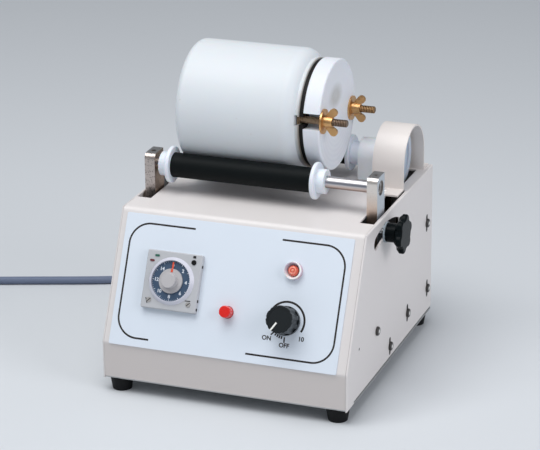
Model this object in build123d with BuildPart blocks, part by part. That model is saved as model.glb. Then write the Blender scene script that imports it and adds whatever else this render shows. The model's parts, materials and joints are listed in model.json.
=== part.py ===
from build123d import *
from math import atan2, cos, degrees, hypot, pi, radians, sin, sqrt, tan
import os

# A bench-top pot mill: a porcelain pot lies on two rubber rollers above a sheet-steel case.
# Millimetres, +X right, +Y to the rear, +Z up. The origin is on the table, below the middle of
# the stand without its lead.

os.makedirs("parts", exist_ok=True)

# General fits
sheet = 1.5  # steel sheet of the case
fit = 0.05  # radial clearance of turned pieces
seat_gap = 0.3  # clearance of pieces that must not touch
seam = 0.4  # open joint between neighbouring sheets
cover_seam = 0.2  # the cover lies closer to the side plates
overrun = 5.0  # how far a cutter reaches past the face it cuts

# Case
case_width = 212.5
case_depth = 231.0
strip_height = 32.4  # upright strip below the panel
panel_rise = 101.3  # height of the sloped panel
panel_setback = 49.0  # how far the panel leans back
top_bend_radius = 5.0
panel_bend_radius = 3.0
side_corner_radius = 1.2
tray_step = 17.8  # the base tray shows below the side plates from here back
tray_flange_height = 46.0
tray_flange_front = 40.0
tray_ear_length = 52.0
tray_ear_rise = 14.0
back_flange_depth = 24.0
slotted_screw_shares = ((0.930, 0.640), (0.942, 0.179), (0.693, 0.173), (0.483, 0.092))
round_screw_share = (0.328, 0.302)
vent_mark_share = (0.130, 0.322)
vent_mark_radius = 1.2
screw_slot_width = 4.4
screw_slot_length = 16.0
screw_head_radius = 3.9
screw_head_height = 2.2
screw_crown_share = 0.6
screw_shank_radius = 2.0
screw_shank_length = 7.0

# Feet
foot_height = 12.0
foot_top_radius = 10.0
foot_base_radius = 8.0
foot_side_inset = 11.75
foot_front_inset = 11.5
foot_rear_inset = 9.5
foot_recess_radius = 4.4
foot_recess_depth = 6.0

# Openings in the top
arm_slot_width = 12.4
arm_slot_ahead = 23.0  # from the pivot to the slot's front edge
arm_slot_behind = 43.7
belt_opening_inset = 31.0  # from the case's right side
belt_opening_right_inset = 9.3
belt_opening_ahead = 27.4  # from the rear axle
belt_opening_behind = 26.1

# Panel face plate and the controls on it, measured from the middle and the foot of the panel
plate_margin = 7.75
plate_height = 109.1
plate_shift = -1.5
plate_foot = -0.8
plate_thickness = 0.8
plate_corner = 1.2
timer_side = 48.0
timer_across = -51.2
timer_up = 56.0
timer_bezel = 5.0
timer_body_side = 44.8
timer_body_depth = 58.0
timer_bezel_corner = 1.5
dial_ring_radius = 19.6
dial_ring_inner = 16.8
dial_ring_height = 2.6
dial_ring_crest = 0.5  # width of the ring's top
dial_face_height = 0.5
dial_knob_radius = 10.2
dial_knob_height = 1.4
dial_grip_radius = 6.6
dial_grip_height = 6.2
dial_grip_rounding = 0.65
dial_pointer_length = 5.4
dial_pointer_width = 1.3
dial_pointer_thickness = 0.5
indicator_radius = 1.6
indicator_height = 0.6
red_indicator_place = (-19.0, 15.1)
green_indicator_place = (-15.1, 19.5)
selector_spread = 17.2
selector_radius = 2.1
selector_height = 0.5
selector_slot_width = 0.7
selector_slot_depth = 0.6
selector_socket_depth = 3.0
reset_across = -1.0
reset_up = 37.2
reset_radius = 4.9
reset_height = 8.0
reset_travel = 2.5
reset_crown = 0.8
reset_body_radius = 6.0
reset_body_depth = 22.0
reset_stem_depth = 10.5  # behind the sheet
lamp_across = 50.0
lamp_up = 77.2
lamp_bezel_radius = 7.6
lamp_bezel_height = 4.6
lamp_bezel_wall = 0.7
lamp_lens_radius = 4.3
lamp_lens_height = 4.2
lamp_lens_rounding = 2.4
lamp_body_radius = 5.6
lamp_body_depth = 30.0
speed_across = 49.5
speed_up = 36.6
speed_knob_radius = 12.0
speed_knob_top_radius = 11.7
speed_knob_height = 18.0
speed_skirt_height = 3.0
speed_flutes = 10
speed_flute_radius = 3.6
speed_flute_depth = 0.9
speed_knob_lift = 0.6
speed_cap_depth = 0.4
speed_cap_radius = 9.4
speed_knob_draft = 1.5
panel_draft = 4.0  # degrees of taper on moulded knobs
control_shaft_radius = 3.0
control_shaft_length = 12.0
control_body_radius = 12.0
control_body_depth = 13.0
control_nut_radius = 5.6
control_nut_height = 2.0
control_neck_radius = 4.6

# Rollers
axle_radius = 5.0
rubber_radius = 10.4
core_radius = 8.4
core_bore_radius = 7.0
rubber_left_inset = 27.25  # from the case's left side
rubber_right_inset = 61.25
flange_radius = 15.5
flange_thickness = 3.6
flange_rounding = 1.2
hub_radius = 10.2
hub_length = 7.0
spigot_length = 9.0
rear_axle_rise = 18.7  # above the top of the case
axle_spacing = 90.1  # between the front and the rear axle, along the case
axle_middle_share = 0.6162  # of the case's depth, from its front
front_axle_rise = 23.3

# Swinging arms
pivot_height = 36.3  # above the underside of the case
arm_depth = 19.0
arm_thickness = 9.0
arm_side_inset = 8.75  # from the case's side to the middle of an arm
arm_head = 10.5  # above the front axle
arm_crest_radius = 5.0
arm_axle_recess_radius = 6.3
arm_axle_recess = 2.5
pivot_bush_radius = 7.5
pivot_bush_flange_radius = 9.0
pivot_bush_flange = 0.8
grub_radius = 2.0
grub_length = 4.6
grub_socket_radius = 1.1
grub_socket_depth = 2.4

# Clamp through the right side plate
clamp_drop = 14.2  # stud below the top of the case
clamp_slot_width = 11.4
clamp_slot_rise = 2.0  # slot's middle above the stud's path
clamp_slot_forward = 16.5  # degrees from the rest place
clamp_slot_back = 23.5
clamp_stud_radius = 3.0
clamp_stud_bite = 7.0
stud_socket_radius = 1.3
stud_socket_depth = 3.0
clamp_washer_radius = 8.6
clamp_washer_thickness = 1.3
clamp_hub_radius = 8.0
clamp_hub_length = 9.2
clamp_neck_radius = 7.2
clamp_neck_length = 1.4
clamp_head_radius = 16.3
clamp_head_valley = 13.4
clamp_head_thickness = 6.6
clamp_head_bevel = 2.6
clamp_lobes = 6
clamp_lobe_turn = -108.0  # degrees, the lowest lobe
clamp_lobe_radius = 4.9
clamp_lobe_rounding = 1.6
clamp_bore_depth = 12.5

# Rear bearing blocks, pulley and cover
block_radius = 14.7
right_block_inset = 49.25
right_block_width = 17.0
left_block_inset = 2.75
left_block_width = 12.5
bearing_radius = 8.0
pulley_radius = 24.6
pulley_width = 9.0
pulley_inset = 18.4
pulley_hub_radius = 9.0
pulley_hub_length = 7.5
pulley_recess = 1.6
pulley_rim = 3.4
pulley_boss_radius = 7.0
belt_radius = 2.4
belt_rounding = 2.0
cover_width = 27.4
cover_inset = 31.25
cover_radius = 29.7
cover_foot = 16.0
cover_rear_foot = 12.0
cover_screw_share = 0.45
cover_screw_radius = 3.2
cover_screw_head = 1.6
cover_screw_length = 6.0
cover_screw_shank = 1.6

# Motor with gearhead
motor_pulley_radius = 14.0
motor_inset = 66.0  # from the back of the case to the motor's axis
motor_height = 40.5  # above the underside of the case
motor_radius = 29.0
motor_length = 66.0
gearhead_side = 60.0
gearhead_length = 30.0
gearhead_inset = 34.4
gearhead_corner = 6.0
motor_shaft_radius = 4.0
motor_boss_radius = 11.0
motor_boss_height = 3.7
motor_shaft_seat = 14.0
bracket_thickness = 2.5
bracket_width = 66.0
bracket_height = 74.0
bracket_foot = 22.0
motor_screw_spread = 50.0
motor_screw_radius = 3.8
motor_screw_head = 2.6
motor_screw_shank = 2.0
motor_screw_length = 9.0

# Control board
board_left_inset = 18.25
board_motor_gap = 6.0
board_pivot_gap = 20.7
board_back_inset = 29.0
board_thickness = 1.6
board_rise = 9.0
standoff_radius = 3.0
standoff_inset = 5.0
heatsink_height = 26.0
capacitor_radius = 7.0
capacitor_height = 22.0
relay_height = 16.0
terminal_height = 12.0
board_blocks = (
    ((-0.32, 0.05), (0.12, 0.62), heatsink_height),
    ((0.18, 0.30), (0.34, 0.20), relay_height),
    ((0.26, -0.38), (0.40, 0.14), terminal_height),
)
capacitor_shares = ((0.05, -0.12), (0.32, -0.06))

# Pot
pot_radius = 53.0
pot_gap = 2.2  # between the left flanges and the foot of the pot
pot_right_gap = 29.3  # between the pot's shoulder and the end of the rubber
pot_foot_rounding = 6.0
pot_wall = 7.5
pot_ring_radius = 46.0
pot_ring_width = 3.6
pot_shoulder = 11.4
pot_mouth_radius = 27.0
pot_ring_rounding = 1.2
gasket_radius = 44.6
gasket_thickness = 3.4
lid_inset = 6.4  # the lid is smaller than the pot by this
lid_thickness = 14.5
lid_rounding = 1.6
lid_notch_width = 13.5
lid_notch_depth = 17.0
bolt_circle_radius = 36.5
bolt_turn = 8.0  # degrees, front bolt above the middle of the lid
bolt_radius = 3.0
bolt_length = 42.5
bolt_head_width = 8.0
bolt_head_thickness = 2.2
bolt_head_sink = 0.3  # how far a head's pocket reaches behind the ring
bolt_play = 0.4
washer_radius = 10.3
washer_thickness = 1.5
nut_hub_radius = 5.0
nut_hub_top_radius = 4.2
nut_hub_length = 7.0
nut_wing_reach = 8.2
nut_wing_rise = 7.6
nut_wing_tip_radius = 3.4
nut_wing_root = 4.6
nut_wing_thickness = 2.4

# Mains lead
cord_radius = 3.5
gland_across = 50.0
gland_height = 20.0  # above the underside of the case
gland_body_radius = 9.0
gland_flange_thickness = 3.0
gland_nut_thickness = 4.0
gland_nut_radius = 10.5
gland_tip_radius = 5.0
gland_length = 30.0
gland_ribs = 5
gland_rib_depth = 0.8
cord_seat = 6.0  # how deep the lead sits in the gland
coil_radius = 38.5  # middle of the turns
coil_pitch = 7.5
coil_layer_turns = 3
coil_start_length = 7.0
coil_end_length = 16.0
coil_samples = 1400
lead_route = (
    (50, 287, 32),
    (33, 314, 21),
    (-2, 323, 9),
    (-42, 308, 3.6),
    (-98, 269, 3.55),
    (-178, 224.2, 3.55),
    (-294, 184, 3.55),
    (-352, 161.5, 3.55),
)
plug_width = 21.6
plug_length = 30.0
plug_thickness = 17.0
plug_rounding = 4.0
plug_sleeve_length = 22.0
plug_sleeve_tip = 4.2
plug_sleeve_root = 6.4
blade_spacing = 12.7
blade_length = 17.0
blade_width = 6.3
blade_thickness = 1.5

# Places that follow from the sizes
clamp_reach_out = (
    seat_gap + clamp_washer_thickness + seat_gap + clamp_hub_length + clamp_head_thickness
)
case_x = -clamp_reach_out / 2
lean = atan2(panel_setback, panel_rise)
knob_top = plate_thickness + speed_knob_lift + speed_knob_height
grip_height = speed_knob_height - speed_skirt_height
knob_top_radius = speed_knob_top_radius - grip_height * tan(radians(speed_knob_draft))
knob_jut = knob_top * cos(lean) - (speed_up - knob_top_radius) * sin(lean)
front_y = -(case_depth - knob_jut) / 2
back_y = front_y + case_depth
floor_z = foot_height
bend_z = floor_z + strip_height
top_z = bend_z + panel_rise
case_height = strip_height + panel_rise
left_x = case_x - case_width / 2
right_x = case_x + case_width / 2
tray_z = floor_z + sheet
cover_half = case_width / 2 - sheet - cover_seam

pivot_y = front_y + axle_middle_share * case_depth - axle_spacing / 2
rear_y = pivot_y + axle_spacing
pivot_z = floor_z + pivot_height
axle_z = top_z + front_axle_rise
arm_offset = case_width / 2 - arm_side_inset
arm_slot_front = pivot_y - arm_slot_ahead
arm_slot_rear = pivot_y + arm_slot_behind
rear_z = top_z + rear_axle_rise
belt_opening_left = right_x - belt_opening_inset
belt_opening_right = right_x - belt_opening_right_inset
belt_opening_front = rear_y - belt_opening_ahead
belt_opening_rear = rear_y + belt_opening_behind
stud_z = top_z - clamp_drop
clamp_reach = stud_z - pivot_z

# The pot rests between the rollers, the same distance from both axles
lid_radius = pot_radius - lid_inset
rest_distance = pot_radius + rubber_radius + seat_gap
axle_gap = hypot(rear_y - pivot_y, rear_z - axle_z)
pot_rise = (rest_distance**2 - (axle_gap / 2) ** 2) ** 0.5
pot_y = (pivot_y + rear_y) / 2 - pot_rise * (rear_z - axle_z) / axle_gap
pot_z = (axle_z + rear_z) / 2 + pot_rise * (rear_y - pivot_y) / axle_gap
rubber_x = left_x + rubber_left_inset
rubber_end_x = right_x - rubber_right_inset
rubber_length = rubber_end_x - rubber_x
pot_x = rubber_x + pot_gap
shoulder_x = rubber_end_x - pot_right_gap
ring_x = shoulder_x + pot_shoulder
mouth_x = ring_x + pot_ring_width
lid_x = mouth_x + gasket_thickness
lid_face_x = lid_x + lid_thickness
pulley_x = right_x - pulley_inset
motor_y = back_y - motor_inset
motor_z = floor_z + motor_height
bracket_x = right_x - gearhead_inset
cover_x = right_x - cover_inset
board_left = left_x + board_left_inset
board_width = bracket_x - gearhead_length - motor_length - board_motor_gap - board_left
board_front = pivot_y + board_pivot_gap
board_depth = back_y - board_back_inset - board_front
belt_turn = pulley_radius - belt_radius  # where the belt's middle runs on the large pulley
small_turn = motor_pulley_radius - belt_radius
panel_up = Axis((0, 0, 0), (0, -cos(lean), sin(lean)))


def across(x):
    return Plane.YZ.offset(x)


def panel(height):
    foot = Plane(
        origin=(case_x, front_y, bend_z), x_dir=(1, 0, 0), z_dir=(0, -cos(lean), sin(lean))
    )
    return foot.offset(height)


def panel_place(along, up):
    return Locations((along, up))


def lying(y, z):
    return Plane(origin=(0, y, z), x_dir=(1, 0, 0), z_dir=(0, -1, 0))


def turned(y, z):
    return Axis((0, y, z), (1, 0, 0))


def write(piece, node):
    piece.part.label = node
    export_step(piece.part, f"parts/{node}.step")


def side_places(shares):
    return [(front_y + back * case_depth, floor_z + up * case_height) for back, up in shares]


slotted_places = side_places(slotted_screw_shares)
round_places = side_places((round_screw_share,))
screw_places = slotted_places + round_places

cover_screw_x = cover_x + cover_screw_share * cover_width
cover_screw_places = (
    (cover_screw_x, rear_y - cover_radius - cover_foot / 2),
    (cover_screw_x, rear_y + cover_radius + cover_rear_foot / 2),
)

# Case cover: one folded sheet
cover_fold = (
    (front_y, tray_z + seam),
    (front_y, bend_z),
    (front_y + panel_setback, top_z),
    (back_y - sheet - seam, top_z),
)

with BuildPart() as case_cover:
    with BuildSketch(across(case_x)):
        with BuildLine():
            FilletPolyline(*cover_fold, radius=(panel_bend_radius, top_bend_radius))
            offset(amount=sheet, side=Side.RIGHT)
        make_face()
    extrude(amount=cover_half, both=True)
    with BuildSketch(Plane.XY.offset(top_z + overrun)):
        with Locations((case_x - arm_offset, (arm_slot_front + arm_slot_rear) / 2)):
            Rectangle(arm_slot_width, arm_slot_rear - arm_slot_front)
        with Locations((case_x + arm_offset, (arm_slot_front + belt_opening_front) / 2)):
            Rectangle(arm_slot_width, belt_opening_front - arm_slot_front)
        opening_middle = (belt_opening_front + belt_opening_rear) / 2
        with Locations(((belt_opening_left + belt_opening_right) / 2, opening_middle)):
            Rectangle(belt_opening_right - belt_opening_left, belt_opening_rear - belt_opening_front)
        with Locations(*cover_screw_places):
            Circle(cover_screw_shank + fit)
    extrude(amount=-(overrun + 2 * sheet), mode=Mode.SUBTRACT)
    with BuildSketch(panel(overrun)):
        with panel_place(timer_across, timer_up):
            Rectangle(timer_body_side + seam, timer_body_side + seam)
        with panel_place(reset_across, reset_up):
            Circle(reset_radius + seat_gap)
        with panel_place(lamp_across, lamp_up):
            Circle(lamp_body_radius + seat_gap)
        with panel_place(speed_across, speed_up):
            Circle(control_neck_radius + seat_gap)
    extrude(amount=-(overrun + 2 * sheet), mode=Mode.SUBTRACT)
write(case_cover, "case_cover")

# Side plates with the screw slots, and the clamp's arc slot in the right one
side_outline = (
    (front_y, floor_z),
    (front_y, bend_z),
    (front_y + panel_setback, top_z),
    (back_y, top_z),
    (back_y, tray_z + seam),
    (front_y + tray_step, tray_z + seam),
    (front_y + tray_step, floor_z),
)


def side_plate(x, with_clamp):
    with BuildPart() as plate:
        with BuildSketch(across(x)):
            with BuildLine():
                Polyline(*side_outline, close=True)
            make_face()
            with Locations(*slotted_places):
                SlotOverall(screw_slot_length, screw_slot_width, rotation=90, mode=Mode.SUBTRACT)
            with Locations(*round_places):
                Circle(screw_shank_radius + seat_gap, mode=Mode.SUBTRACT)
            with Locations(*side_places((vent_mark_share,))):
                Circle(vent_mark_radius, mode=Mode.SUBTRACT)
            if with_clamp:
                with BuildLine():
                    CenterArc(
                        (pivot_y, pivot_z),
                        clamp_reach + clamp_slot_rise,
                        90 - clamp_slot_back,
                        clamp_slot_back + clamp_slot_forward,
                    )
                    offset(amount=clamp_slot_width / 2)
                make_face(mode=Mode.SUBTRACT)
        extrude(amount=sheet)
        outer_face = plate.faces().sort_by(Axis.X)[-1 if with_clamp else 0]
        fillet(outer_face.outer_wire().edges(), radius=side_corner_radius)
    return plate


left_side_plate = side_plate(left_x, False)
write(left_side_plate, "left_side_plate")
right_side_plate = side_plate(right_x - sheet, True)
write(right_side_plate, "right_side_plate")

# Base tray: floor plate with an upturned flange along each side, eared for the pivot shaft
flange_out_x = cover_half + cover_seam
flange_top = floor_z + tray_flange_height
ear_top = flange_top + tray_ear_rise
tray_front = front_y + sheet + seam
tray_back = back_y - sheet - seam
flange_outline = (
    (front_y + tray_flange_front, tray_z),
    (front_y + tray_flange_front, flange_top),
    (pivot_y - tray_ear_length / 2, flange_top),
    (pivot_y - tray_ear_length / 2 + tray_ear_rise, ear_top),
    (pivot_y + tray_ear_length / 2 - tray_ear_rise, ear_top),
    (pivot_y + tray_ear_length / 2, flange_top),
    (tray_back, flange_top),
    (tray_back, tray_z),
)
foot_rows = (front_y + foot_front_inset, back_y - foot_rear_inset)
foot_columns = (left_x + foot_side_inset, right_x - foot_side_inset)
foot_places = [(column, row) for column in foot_columns for row in foot_rows]
bracket_screw_places = [
    (bracket_x - bracket_foot / 2, motor_y + side * bracket_width / 3) for side in (-1, 1)
]

with BuildPart() as base_tray:
    with BuildSketch(Plane.XY.offset(floor_z)):
        with Locations((case_x, (front_y + tray_step + tray_back) / 2)):
            Rectangle(case_width, tray_back - front_y - tray_step)
        with Locations((case_x, (tray_front + front_y + tray_step) / 2)):
            Rectangle(2 * flange_out_x, front_y + tray_step - tray_front)
        with Locations(*foot_places, *bracket_screw_places):
            Circle(screw_shank_radius + fit, mode=Mode.SUBTRACT)
    extrude(amount=sheet)
    for x in (case_x - flange_out_x, case_x + flange_out_x - sheet):
        with BuildSketch(across(x)):
            with BuildLine():
                Polyline(*flange_outline, close=True)
            make_face()
            with Locations((pivot_y, pivot_z)):
                Circle(pivot_bush_radius + fit, mode=Mode.SUBTRACT)
            with Locations(*slotted_places[1:], *round_places):
                Circle(screw_shank_radius + fit, mode=Mode.SUBTRACT)
        extrude(amount=sheet)
write(base_tray, "base_tray")

# Back panel with forward flanges behind the side plates
back_flange_low = flange_top + seam
with BuildPart() as back_panel:
    with BuildSketch(Plane.XZ.offset(-back_y)):
        with Locations((case_x, (tray_z + seam + top_z) / 2)):
            Rectangle(2 * flange_out_x, top_z - tray_z - seam)
        with Locations((case_x + gland_across, floor_z + gland_height)):
            Circle(gland_body_radius - sheet + fit, mode=Mode.SUBTRACT)
    extrude(amount=sheet)
    for x in (case_x - flange_out_x, case_x + flange_out_x - sheet):
        with BuildSketch(across(x)):
            flange_high = top_z - sheet - seam
            with Locations((back_y - back_flange_depth / 2, (back_flange_low + flange_high) / 2)):
                Rectangle(back_flange_depth, flange_high - back_flange_low)
            with Locations(slotted_places[0]):
                Circle(screw_shank_radius + fit, mode=Mode.SUBTRACT)
        extrude(amount=sheet)
write(back_panel, "back_panel")


def side_screws(x, outward):
    with BuildPart() as screws:
        with BuildSketch(across(x)):
            with Locations(*screw_places):
                Circle(screw_head_radius)
        extrude(amount=outward * screw_head_height)
        crowns = screws.edges().group_by(Axis.X)[-1 if outward > 0 else 0]
        fillet(crowns, radius=screw_head_height * screw_crown_share)
        with BuildSketch(across(x)):
            with Locations(*screw_places):
                Circle(screw_shank_radius)
        extrude(amount=-outward * screw_shank_length)
    return screws


left_side_screws = side_screws(left_x, -1)
right_side_screws = side_screws(right_x, 1)

# Feet and the screws that hold them
with BuildPart() as feet:
    with BuildSketch(Plane.XY):
        with Locations(*foot_places):
            Circle(foot_base_radius)
    taper = degrees(atan2(foot_top_radius - foot_base_radius, foot_height))
    extrude(amount=foot_height, taper=-taper)
    with BuildSketch(Plane.XY):
        with Locations(*foot_places):
            Circle(foot_recess_radius)
    extrude(amount=foot_recess_depth, mode=Mode.SUBTRACT)
    with BuildSketch(Plane.XY):
        with Locations(*foot_places):
            Circle(screw_shank_radius + fit)
    extrude(amount=foot_height, mode=Mode.SUBTRACT)
write(feet, "rubber_feet")

with BuildPart() as foot_screws:
    with BuildSketch(Plane.XY.offset(foot_recess_depth)):
        with Locations(*foot_places):
            Circle(screw_head_radius)
    extrude(amount=-screw_head_height)
    with BuildSketch(Plane.XY.offset(foot_recess_depth)):
        with Locations(*foot_places):
            Circle(screw_shank_radius)
    extrude(amount=foot_height - foot_recess_depth + 2 * sheet)

# Panel face plate
with BuildPart() as face_plate:
    with BuildSketch(panel(0)):
        with panel_place(plate_shift, plate_foot + plate_height / 2):
            RectangleRounded(case_width - 2 * plate_margin, plate_height, plate_corner)
        with panel_place(timer_across, timer_up):
            Rectangle(timer_body_side + seam, timer_body_side + seam, mode=Mode.SUBTRACT)
        with panel_place(reset_across, reset_up):
            Circle(reset_radius + seat_gap, mode=Mode.SUBTRACT)
        with panel_place(lamp_across, lamp_up):
            Circle(lamp_body_radius + seat_gap, mode=Mode.SUBTRACT)
        with panel_place(speed_across, speed_up):
            Circle(control_neck_radius + seat_gap, mode=Mode.SUBTRACT)
    extrude(amount=plate_thickness)
write(face_plate, "face_plate")

# Timer: square case with a bezel, a ringed dial, two indicators and three selectors
bezel_face = plate_thickness + timer_bezel
dial_base = bezel_face + dial_face_height
selector_places = [
    (timer_across + right * selector_spread, timer_up + up * selector_spread)
    for right, up in ((1, 1), (-1, -1), (1, -1))
]
indicator_places = [
    (timer_across + right, timer_up + up)
    for right, up in (red_indicator_place, green_indicator_place)
]

with BuildPart() as timer_case:
    with BuildSketch(panel(plate_thickness)):
        with panel_place(timer_across, timer_up):
            RectangleRounded(timer_side, timer_side, timer_bezel_corner)
    extrude(amount=timer_bezel)
    chamfer(timer_case.faces().sort_by(panel_up)[-1].edges(), length=sheet / 2)
    with BuildSketch(panel(plate_thickness)):
        with panel_place(timer_across, timer_up):
            RectangleRounded(timer_body_side, timer_body_side, timer_bezel_corner)
    extrude(amount=-(plate_thickness + timer_body_depth))
    with BuildSketch(panel(bezel_face)):
        with Locations(*selector_places):
            Circle(selector_radius + fit)
    extrude(amount=-selector_socket_depth, mode=Mode.SUBTRACT)
write(timer_case, "timer_case")

with BuildPart() as dial_ring:
    with BuildSketch(panel(bezel_face)):
        with panel_place(timer_across, timer_up):
            Circle(dial_ring_radius)
    with BuildSketch(panel(bezel_face + dial_ring_height)):
        with panel_place(timer_across, timer_up):
            Circle(dial_ring_inner + dial_ring_crest)
    loft()
    with BuildSketch(panel(bezel_face)):
        with panel_place(timer_across, timer_up):
            Circle(dial_ring_inner)
    extrude(amount=dial_ring_height, mode=Mode.SUBTRACT)
write(dial_ring, "timer_dial_ring")

with BuildPart() as dial_face:
    with BuildSketch(panel(bezel_face)):
        with panel_place(timer_across, timer_up):
            Circle(dial_ring_inner - fit)
    extrude(amount=dial_face_height)
write(dial_face, "timer_dial_face")

with BuildPart() as dial_knob:
    with BuildSketch(panel(dial_base + seat_gap)):
        with panel_place(timer_across, timer_up):
            Circle(dial_knob_radius)
    extrude(amount=dial_knob_height, taper=panel_draft)
    with BuildSketch(panel(dial_base + seat_gap + dial_knob_height)):
        with panel_place(timer_across, timer_up):
            Circle(dial_grip_radius)
    extrude(amount=dial_grip_height, taper=panel_draft)
    fillet(dial_knob.edges().group_by(panel_up)[-1], radius=dial_grip_rounding)
write(dial_knob, "timer_knob")

with BuildPart() as dial_pointer:
    with BuildSketch(panel(dial_base + seat_gap)):
        with panel_place(timer_across, timer_up + dial_knob_radius + dial_pointer_length / 2):
            Rectangle(dial_pointer_width, dial_pointer_length)
        with panel_place(timer_across, timer_up):
            Circle(dial_knob_radius + fit, mode=Mode.SUBTRACT)
    extrude(amount=dial_pointer_thickness)
write(dial_pointer, "timer_pointer")

with BuildPart() as timer_indicators:
    with BuildSketch(panel(bezel_face)):
        with Locations(*indicator_places):
            Circle(indicator_radius)
    extrude(amount=indicator_height)
    fillet(timer_indicators.edges().group_by(panel_up)[-1], radius=indicator_height / 2)
write(timer_indicators, "timer_indicators")

for node, place in zip(("mode_selector", "unit_selector", "range_selector"), selector_places):
    with BuildPart() as selector:
        with BuildSketch(panel(bezel_face + selector_height)):
            with Locations(place):
                Circle(selector_radius)
        extrude(amount=seat_gap - selector_height - selector_socket_depth)
        with BuildSketch(panel(bezel_face + selector_height)):
            with Locations(place):
                Rectangle(2 * selector_radius, selector_slot_width, rotation=45)
        extrude(amount=-selector_slot_depth, mode=Mode.SUBTRACT)
    write(selector, node)

# Reset button in its switch, which sits behind the sheet
with BuildPart() as reset_switch:
    with BuildSketch(panel(-sheet)):
        with panel_place(reset_across, reset_up):
            Circle(reset_body_radius)
    extrude(amount=-reset_body_depth)
    with BuildSketch(panel(-sheet)):
        with panel_place(reset_across, reset_up):
            Circle(reset_radius + fit)
    extrude(amount=-(reset_stem_depth + reset_travel), mode=Mode.SUBTRACT)
write(reset_switch, "reset_switch")

with BuildPart() as reset_button:
    with BuildSketch(panel(plate_thickness + reset_height)):
        with panel_place(reset_across, reset_up):
            Circle(reset_radius)
    extrude(amount=seat_gap - plate_thickness - reset_height - sheet - reset_stem_depth)
    fillet(reset_button.edges().group_by(panel_up)[-1], radius=reset_crown)
write(reset_button, "reset_button")

# Pilot lamp: conical bezel, domed lens in its middle and the body behind the panel
with BuildPart() as lamp_bezel:
    with BuildSketch(panel(plate_thickness)):
        with panel_place(lamp_across, lamp_up):
            Circle(lamp_bezel_radius)
    extrude(amount=lamp_bezel_height, taper=panel_draft)
    fillet(lamp_bezel.edges().group_by(panel_up)[-1], radius=lamp_bezel_wall / 2)
    with BuildSketch(panel(plate_thickness)):
        with panel_place(lamp_across, lamp_up):
            Circle(lamp_body_radius)
    extrude(amount=-(plate_thickness + lamp_body_depth))
    with BuildSketch(panel(plate_thickness)):
        with panel_place(lamp_across, lamp_up):
            Circle(lamp_lens_radius + fit)
    with BuildSketch(panel(plate_thickness + lamp_bezel_height)):
        with panel_place(lamp_across, lamp_up):
            Circle(lamp_bezel_radius - 2 * lamp_bezel_wall)
    loft(mode=Mode.SUBTRACT)
write(lamp_bezel, "lamp_bezel")

with BuildPart() as lamp_lens:
    with BuildSketch(panel(plate_thickness)):
        with panel_place(lamp_across, lamp_up):
            Circle(lamp_lens_radius)
    extrude(amount=lamp_lens_height)
    fillet(lamp_lens.edges().group_by(panel_up)[-1], radius=lamp_lens_rounding)
write(lamp_lens, "lamp_lens")

# Speed control: potentiometer with its nut, and the fluted knob on its shaft
knob_foot = plate_thickness + speed_knob_lift
shaft_top = knob_foot + control_shaft_length
with BuildPart() as speed_control:
    with BuildSketch(panel(-sheet)):
        with panel_place(speed_across, speed_up):
            Circle(control_body_radius)
    extrude(amount=-control_body_depth)
    with BuildSketch(panel(-sheet)):
        with panel_place(speed_across, speed_up):
            Circle(control_neck_radius)
    extrude(amount=sheet + plate_thickness + control_nut_height)
    with BuildSketch(panel(plate_thickness)):
        with panel_place(speed_across, speed_up):
            RegularPolygon(control_nut_radius, 6)
    extrude(amount=control_nut_height)
    with BuildSketch(panel(0)):
        with panel_place(speed_across, speed_up):
            Circle(control_shaft_radius)
    extrude(amount=shaft_top)
write(speed_control, "speed_control")

with BuildPart() as speed_knob:
    with BuildSketch(panel(knob_foot)):
        with panel_place(speed_across, speed_up):
            Circle(speed_knob_radius)
    extrude(amount=speed_skirt_height)
    grip_foot = knob_foot + speed_skirt_height
    with BuildSketch(panel(grip_foot)):
        with panel_place(speed_across, speed_up):
            Circle(speed_knob_top_radius)
    extrude(amount=grip_height, taper=speed_knob_draft)
    knob_rim = speed_knob.faces().sort_by(panel_up)[-1].outer_wire().edges()
    fillet(knob_rim, radius=speed_knob_lift)
    flute_middle = speed_knob_top_radius + speed_flute_radius - speed_flute_depth
    with BuildSketch(panel(grip_foot)):
        with panel_place(speed_across, speed_up):
            with PolarLocations(flute_middle, speed_flutes):
                Circle(speed_flute_radius)
    extrude(amount=grip_height + sheet, mode=Mode.SUBTRACT)
    with BuildSketch(panel(knob_foot)):
        with panel_place(speed_across, speed_up):
            Circle(control_nut_radius + seat_gap)
    extrude(amount=control_nut_height + seat_gap, mode=Mode.SUBTRACT)
    with BuildSketch(panel(knob_foot)):
        with panel_place(speed_across, speed_up):
            Circle(control_shaft_radius + fit)
    extrude(amount=control_shaft_length + seat_gap, mode=Mode.SUBTRACT)
    with BuildSketch(panel(knob_foot + speed_knob_height)):
        with panel_place(speed_across, speed_up):
            Circle(speed_cap_radius)
    extrude(amount=-speed_cap_depth, mode=Mode.SUBTRACT)
write(speed_knob, "speed_knob")

# Roller sleeves: core tube, rubber and a flanged bush pressed into each end of the core
def tube(x, length, y, z, outer, inner):
    with BuildPart() as piece:
        with BuildSketch(across(x)):
            with Locations((y, z)):
                Circle(outer)
                Circle(inner, mode=Mode.SUBTRACT)
        extrude(amount=length)
    return piece


def bush_pair(y, z, bore):
    with BuildPart() as bushes:
        for x, out in ((rubber_x, -1), (rubber_end_x, 1)):
            steps = (
                (x, flange_radius, out * flange_thickness),
                (x + out * flange_thickness, hub_radius, out * hub_length),
                (x, core_bore_radius - fit, -out * spigot_length),
            )
            for start, radius, length in steps:
                with BuildSketch(across(start)):
                    with Locations((y, z)):
                        Circle(radius)
                extrude(amount=length)
        rims = bushes.edges().filter_by(GeomType.CIRCLE)
        fillet(rims.filter_by(lambda rim: rim.radius == flange_radius), radius=flange_rounding)
        with BuildSketch(across(rubber_x - overrun - flange_thickness - hub_length)):
            with Locations((y, z)):
                Circle(bore)
        reach = rubber_length + 2 * (overrun + flange_thickness + hub_length)
        extrude(amount=reach, mode=Mode.SUBTRACT)
    return bushes


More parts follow.
